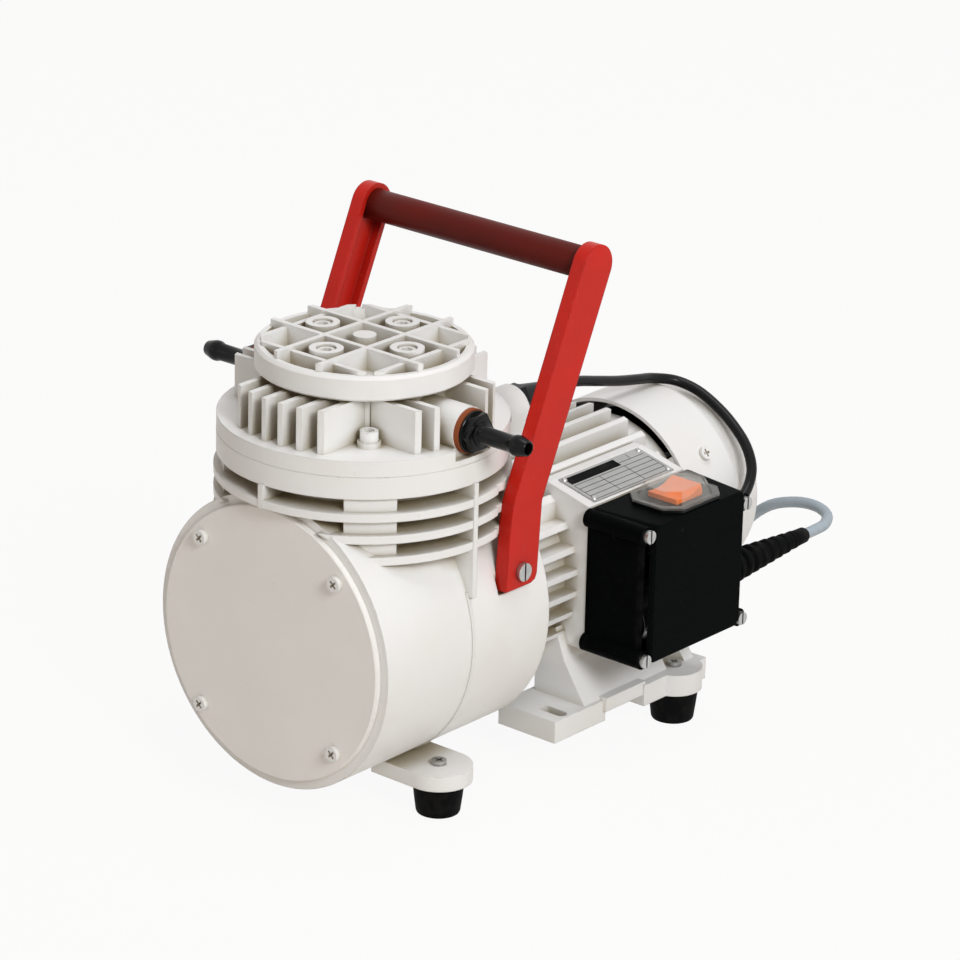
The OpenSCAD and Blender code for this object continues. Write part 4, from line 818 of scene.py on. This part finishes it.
def terminal_box():
    dress(box_plastic(), "box_base", "box_cover")
    dress(zinc_steel(), "box_screws")
    dress(machined_alloy(), "capacitor")
    dress(soft_rubber("white terminal plastic", TERMINAL_WHITE, 0.1), "terminal_block")


ROCKER_PIN = (81.5, 131, 42)
# Tilt at rest in degrees, then sizes measured from the pin
ROCKER_TILT = 10
ROCKER_HALF_WIDE = 9.0
ROCKER_REACH = 9.4
ROCKER_UNDERSIDE = -3.5
ROCKER_ENDS = 3.4
ROCKER_DIP = 1.4
DIP_STEPS = 6


def switch():
    """A rocker with a hollowed top, tipped about its pin, under a clear splash cover."""
    shares = [1 - k / DIP_STEPS for k in range(DIP_STEPS + 1)]
    outline = [(ROCKER_REACH * s, ROCKER_DIP + (ROCKER_ENDS - ROCKER_DIP) * s**1.6) for s in shares]
    outline += [(-y, z) for y, z in outline[-2::-1]]
    bulge = ROCKER_REACH + 0.6
    outline += [(-bulge, 0), (-ROCKER_REACH, ROCKER_UNDERSIDE)]
    outline += [(ROCKER_REACH, ROCKER_UNDERSIDE), (bulge, 0)]
    tip = Matrix.Translation(at(*ROCKER_PIN)) @ Matrix.Rotation(math.radians(ROCKER_TILT), 4, "X")
    bm = bmesh.new()
    ends = []
    for x in (-ROCKER_HALF_WIDE, ROCKER_HALF_WIDE):
        ends.append([bm.verts.new(tip @ (Vector((x, y, z)) * MM)) for y, z in outline])
    for one in range(len(outline)):
        two = (one + 1) % len(outline)
        bm.faces.new((ends[0][one], ends[0][two], ends[1][two], ends[1][one]))
    caps = [bm.faces.new(end) for end in ends]
    rims = list({edge for cap in caps for edge in cap.edges})
    bmesh.ops.bevel(bm, geom=rims, offset=0.7 * MM, segments=3, profile=0.5, affect="EDGES")
    orange = gloss_plastic("orange rocker plastic", colours().rocker, 0.25)
    rocker = finished("switch_rocker_moulded", bm, orange, "rocker", 30)
    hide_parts("switch_rocker")
    dress(gloss_plastic("black switch plastic", colours().box, 0.3), "switch_body")
    dress(clear_cover(), "switch_cover")


FOOT_PLACES = ((52.8, -3.3), (64.4, 158))
# Pairs of height over the floor and radius
FOOT_PROFILE = [
    (4, 0), (4, 3.6), (0.4, 3.9), (0, 4.4), (0, 9.3), (0.3, 10.1), (1.1, 10.5), (8, 11.4),
    (14.8, 12.15), (15.6, 12.25), (16.2, 12.1), (16.5, 11.6), (16.5, 0),
]


def feet():
    """Four rubber feet, wider at the top, each with a small hollow underneath."""
    bm = bmesh.new()
    for x, y in FOOT_PLACES:
        for side in (-1, 1):
            turned(bm, at(side * x, y, FLOOR_Z), (0, 0, 1), FOOT_PROFILE)
    moulded = finished("feet_moulded", bm, soft_rubber("black foot rubber", colours().rubber, 0.12))
    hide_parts("rubber_feet")


def castings():
    enamel = enamel_on_castings("white enamel on castings")
    dress(enamel, "crankcase", "head_body", "head_lid", "motor_frame", "front_shield")
    cowl_enamel = enamel_on_castings("white enamel on the cowl", painted_shade_inside=True)
    dress(cowl_enamel, "rear_shield", "fan_cowl")


def front_plate():
    dress(enamel_on_plate(), "front_plate")


def drive():
    rubber = soft_rubber("black valve rubber", colours().rubber, 0.1)
    dress(rubber, "diaphragm", "inlet_valve", "outlet_valve", "lid_gasket")
    dress(machined_alloy(), "diaphragm_disc", "connecting_rod")
    dress(oiled_steel(), "eccentric", "eccentric_screw", "counterweight", "flange_screws", "stator", "rotor")
    dress(zinc_steel(), "diaphragm_screw", "rod_bearing", "eccentric_washer", "shaft_spacer", "tie_bolts",
          "motor_shaft", "front_bearing", "rear_bearing")
    dress(wound_copper(), "windings")


FAN_START = 194
FAN_RADIUS = 46
FAN_BLADES = 8
FAN_BORE_R = 6.6
HUB_R = 13
HUB_LENGTH = 18
# The disc's front and rear face along the hub, and the root, middle, length and thickness of a blade
DISC_FRONT = 6
DISC_REAR = 8
BLADE_ROOT = 11
BLADE_MIDDLE = 9.5
BLADE_LENGTH = 15
BLADE_THICK = 1.8


def fan():
    """Straight blades through a disc, on a hub that the shaft fills."""
    start = at(0, FAN_START, 0)
    rim = FAN_RADIUS - 0.2
    profile = [(0, FAN_BORE_R), (0, HUB_R - 0.6), (0.6, HUB_R), (DISC_FRONT - 0.6, HUB_R)]
    profile += [(DISC_FRONT, HUB_R + 0.6), (DISC_FRONT, rim - 0.4), (DISC_FRONT + 0.4, rim)]
    profile += [(DISC_REAR - 0.4, rim), (DISC_REAR, rim - 0.4), (DISC_REAR, HUB_R + 0.6)]
    profile += [(DISC_REAR + 0.6, HUB_R), (HUB_LENGTH - 0.6, HUB_R), (HUB_LENGTH, HUB_R - 0.6)]
    profile += [(HUB_LENGTH, FAN_BORE_R), (0, FAN_BORE_R)]
    bm = bmesh.new()
    turned(bm, start, (0, 1, 0), profile, 96)
    middle = Matrix.Translation(Vector(((FAN_RADIUS + BLADE_ROOT) / 2, BLADE_MIDDLE, 0)) * MM)
    size = (FAN_RADIUS - BLADE_ROOT, BLADE_LENGTH, BLADE_THICK)
    for i in range(FAN_BLADES):
        turn = Matrix.Rotation(2 * math.pi * i / FAN_BLADES, 4, "Y")
        block(bm, Matrix.Translation(start) @ turn @ middle, size, 0.5, 2)
    made = finished("fan_moulded", bm, box_plastic(), "shaft")
    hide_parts("fan")


def fasteners():
    dress(enamel_on_screws(), "front_plate_screws", "head_screws", "lid_screws", "cowl_screws")
    dress(zinc_steel(), "handle_screws", "plate_rivets", "foot_screws")


# Camera, floor and light

# Where the photo was taken from and what it looks at, in the pump's measurements, and its roll in degrees
CAMERA_FROM = (1306.08, -1462.17, 806.92)
CAMERA_TO = (67.162, 0.0, 64.008)
CAMERA_ROLL = 1.312
CAMERA_LENS = 169.95
CAMERA_SENSOR = 36
CAMERA_SHIFT = (0.0076, 0.0362)
CAMERA_CLIP = (0.1, 50)


def set_camera():
    lens = bpy.data.cameras.new("view_of_the_photo")
    lens.lens = CAMERA_LENS
    lens.sensor_width = CAMERA_SENSOR
    lens.shift_x, lens.shift_y = CAMERA_SHIFT
    lens.clip_start, lens.clip_end = CAMERA_CLIP
    camera = bpy.data.objects.new("view_of_the_photo", lens)
    bpy.context.scene.collection.objects.link(camera)
    start, end = at(*CAMERA_FROM), at(*CAMERA_TO)
    back = (start - end).normalized()
    level = UPWARD.cross(back).normalized()
    up = back.cross(level)
    roll = math.radians(CAMERA_ROLL)
    right = level * math.cos(roll) + up * math.sin(roll)
    up = up * math.cos(roll) - level * math.sin(roll)
    camera.matrix_world = Matrix.Translation(start) @ Matrix((right, up, back)).transposed().to_4x4()
    bpy.context.scene.camera = camera


WHITE = (1, 1, 1)
FLOOR_REACH = 12.0
FLOOR_WHITENESS = 0.93
SKY_WHITENESS = 1.0
SKY_TINT = (1.0, 0.91, 0.83)
SKY_STRENGTH = 0.35
LAMP_TARGET = (0, 0, 0.1)
# Each lamp's name, place in metres, diameter, power and tint
LAMPS = [
    ("key_light", (2.1, -0.9, 1.5), 0.9, 36, (0.97, 0.99, 1.0)),
    ("front_light", (-1.2, -2.2, 1.2), 1.2, 1.5, (1.0, 0.96, 0.93)),
    ("top_light", (0.3, 0.3, 2.4), 1.2, 15, (0.98, 0.99, 1.0)),
]


def lamp(name, where, size, power, tint):
    light = bpy.data.lights.new(name, "AREA")
    light.shape = "DISK"
    light.size = size
    light.energy = power
    light.color = tint
    made = bpy.data.objects.new(name, light)
    bpy.context.scene.collection.objects.link(made)
    made.location = Vector(where)
    made.rotation_euler = (Vector(LAMP_TARGET) - Vector(where)).to_track_quat("-Z", "Y").to_euler()


def lay_floor():
    """Plain paper that looks nearly white, with a faint shadow of the pump."""
    corners = [(x * FLOOR_REACH, y * FLOOR_REACH, 0) for x, y in ((-1, -1), (1, -1), (1, 1), (-1, 1))]
    mesh = bpy.data.meshes.new("studio_floor")
    mesh.from_pydata(corners, [], [(0, 1, 2, 3)])
    floor = bpy.data.objects.new("studio_floor", mesh)
    bpy.context.scene.collection.objects.link(floor)
    paper = Finish("floor paper", 1.0, Specular_IOR_Level=0.0, Base_Color=colours().floor)
    glow = paper.node("ShaderNodeEmission", None, {"Color": WHITE})
    lit = Wire(paper, paper.shader.outputs[0])
    paper.white_where_seen(lit, glow, FLOOR_WHITENESS, "Material Output")
    mesh.materials.append(paper.material)


def set_sky():
    """Soft warm light from all sides, with a white sky where it is seen."""
    world = bpy.data.worlds.new("studio")
    bpy.context.scene.world = world
    world.use_nodes = True
    sky = Nodes(world.node_tree)
    soft = sky.node("ShaderNodeBackground", None, {"Color": SKY_TINT, "Strength": SKY_STRENGTH})
    white = sky.node("ShaderNodeBackground", None, {"Color": WHITE})
    sky.white_where_seen(soft, white, SKY_WHITENESS, "World Output")


def set_stage():
    bpy.context.scene.view_settings.view_transform = "Standard"
    lay_floor()
    set_sky()
    for settings in LAMPS:
        lamp(*settings)


# Operators, one for each piece


class PUMP_OT_camera(bpy.types.Operator):
    """Sets the camera where the photo was taken from"""

    bl_idname = "pump.camera"
    bl_label = "Camera"

    def execute(self, context):
        set_camera()
        return {"FINISHED"}


class PUMP_OT_mains_cord(bpy.types.Operator):
    """Lays the mains cord with its coil, tie, plug and strain relief"""

    bl_idname = "pump.mains_cord"
    bl_label = "Mains cord"

    def execute(self, context):
        lay_cord()
        return {"FINISHED"}


class PUMP_OT_motor_lead(bpy.types.Operator):
    """Lays the lead from the motor to the terminal box"""

    bl_idname = "pump.motor_lead"
    bl_label = "Motor lead"

    def execute(self, context):
        lay_motor_lead()
        return {"FINISHED"}


class PUMP_OT_castings(bpy.types.Operator):
    """Enamels the crankcase, the head, the motor's housing and the fan cowl"""

    bl_idname = "pump.castings"
    bl_label = "Castings"

    def execute(self, context):
        castings()
        return {"FINISHED"}


class PUMP_OT_front_plate(bpy.types.Operator):
    """Enamels the front plate"""

    bl_idname = "pump.front_plate"
    bl_label = "Front plate"

    def execute(self, context):
        front_plate()
        return {"FINISHED"}


class PUMP_OT_drive(bpy.types.Operator):
    """Dresses the diaphragm, rod, eccentric, valves and motor, and builds the fan"""

    bl_idname = "pump.drive"
    bl_label = "Drive"

    def execute(self, context):
        drive()
        fan()
        return {"FINISHED"}


class PUMP_OT_hose_nozzles(bpy.types.Operator):
    """Builds the two hose nozzles and dresses their seal rings"""

    bl_idname = "pump.hose_nozzles"
    bl_label = "Hose nozzles"

    def execute(self, context):
        hose_nozzles()
        return {"FINISHED"}


class PUMP_OT_handle(bpy.types.Operator):
    """Enamels the handle and builds its grip sleeve"""

    bl_idname = "pump.handle"
    bl_label = "Handle"

    def execute(self, context):
        handle()
        return {"FINISHED"}


class PUMP_OT_rating_plate(bpy.types.Operator):
    """Dresses the rating plate and prints its blank fields"""

    bl_idname = "pump.rating_plate"
    bl_label = "Rating plate"

    def execute(self, context):
        rating_plate()
        return {"FINISHED"}


class PUMP_OT_terminal_box(bpy.types.Operator):
    """Dresses the terminal box and what it holds"""

    bl_idname = "pump.terminal_box"
    bl_label = "Terminal box"

    def execute(self, context):
        terminal_box()
        return {"FINISHED"}


class PUMP_OT_switch(bpy.types.Operator):
    """Builds the rocker and dresses the switch and its clear cover"""

    bl_idname = "pump.switch"
    bl_label = "Switch"

    def execute(self, context):
        switch()
        return {"FINISHED"}


class PUMP_OT_feet(bpy.types.Operator):
    """Builds the rubber feet"""

    bl_idname = "pump.feet"
    bl_label = "Feet"

    def execute(self, context):
        feet()
        return {"FINISHED"}


class PUMP_OT_fasteners(bpy.types.Operator):
    """Dresses the screws and rivets"""

    bl_idname = "pump.fasteners"
    bl_label = "Fasteners"

    def execute(self, context):
        fasteners()
        return {"FINISHED"}


class PUMP_OT_stage(bpy.types.Operator):
    """Lays the floor and sets the lights"""

    bl_idname = "pump.stage"
    bl_label = "Stage"

    def execute(self, context):
        set_stage()
        return {"FINISHED"}


OPERATORS = [
    PUMP_OT_camera,
    PUMP_OT_mains_cord,
    PUMP_OT_motor_lead,
    PUMP_OT_castings,
    PUMP_OT_front_plate,
    PUMP_OT_drive,
    PUMP_OT_hose_nozzles,
    PUMP_OT_handle,
    PUMP_OT_rating_plate,
    PUMP_OT_terminal_box,
    PUMP_OT_switch,
    PUMP_OT_feet,
    PUMP_OT_fasteners,
    PUMP_OT_stage,
]


class PUMP_PT_pieces(bpy.types.Panel):
    """Lists the pump's pieces, sizes and colours"""

    bl_label = "Vacuum pump"
    bl_space_type = "VIEW_3D"
    bl_region_type = "UI"
    bl_category = "Pump"

    def draw(self, context):
        for group in (context.scene.pump_sizes, context.scene.pump_colours):
            column = self.layout.column(align=True)
            for key in group.__annotations__:
                column.prop(group, key)
        for operator in OPERATORS:
            self.layout.operator(operator.bl_idname)


CLASSES = [PumpSizes, PumpColours, *OPERATORS, PUMP_PT_pieces]


def register():
    for item in CLASSES:
        bpy.utils.register_class(item)
    bpy.types.Scene.pump_sizes = bpy.props.PointerProperty(type=PumpSizes)
    bpy.types.Scene.pump_colours = bpy.props.PointerProperty(type=PumpColours)


def unregister():
    del bpy.types.Scene.pump_colours
    del bpy.types.Scene.pump_sizes
    for item in reversed(CLASSES):
        bpy.utils.unregister_class(item)


def main():
    register()
    for operator in OPERATORS:
        group, name = operator.bl_idname.split(".")
        getattr(getattr(bpy.ops, group), name)()
    bpy.context.view_layer.update()


if __name__ == "__main__":
    main()
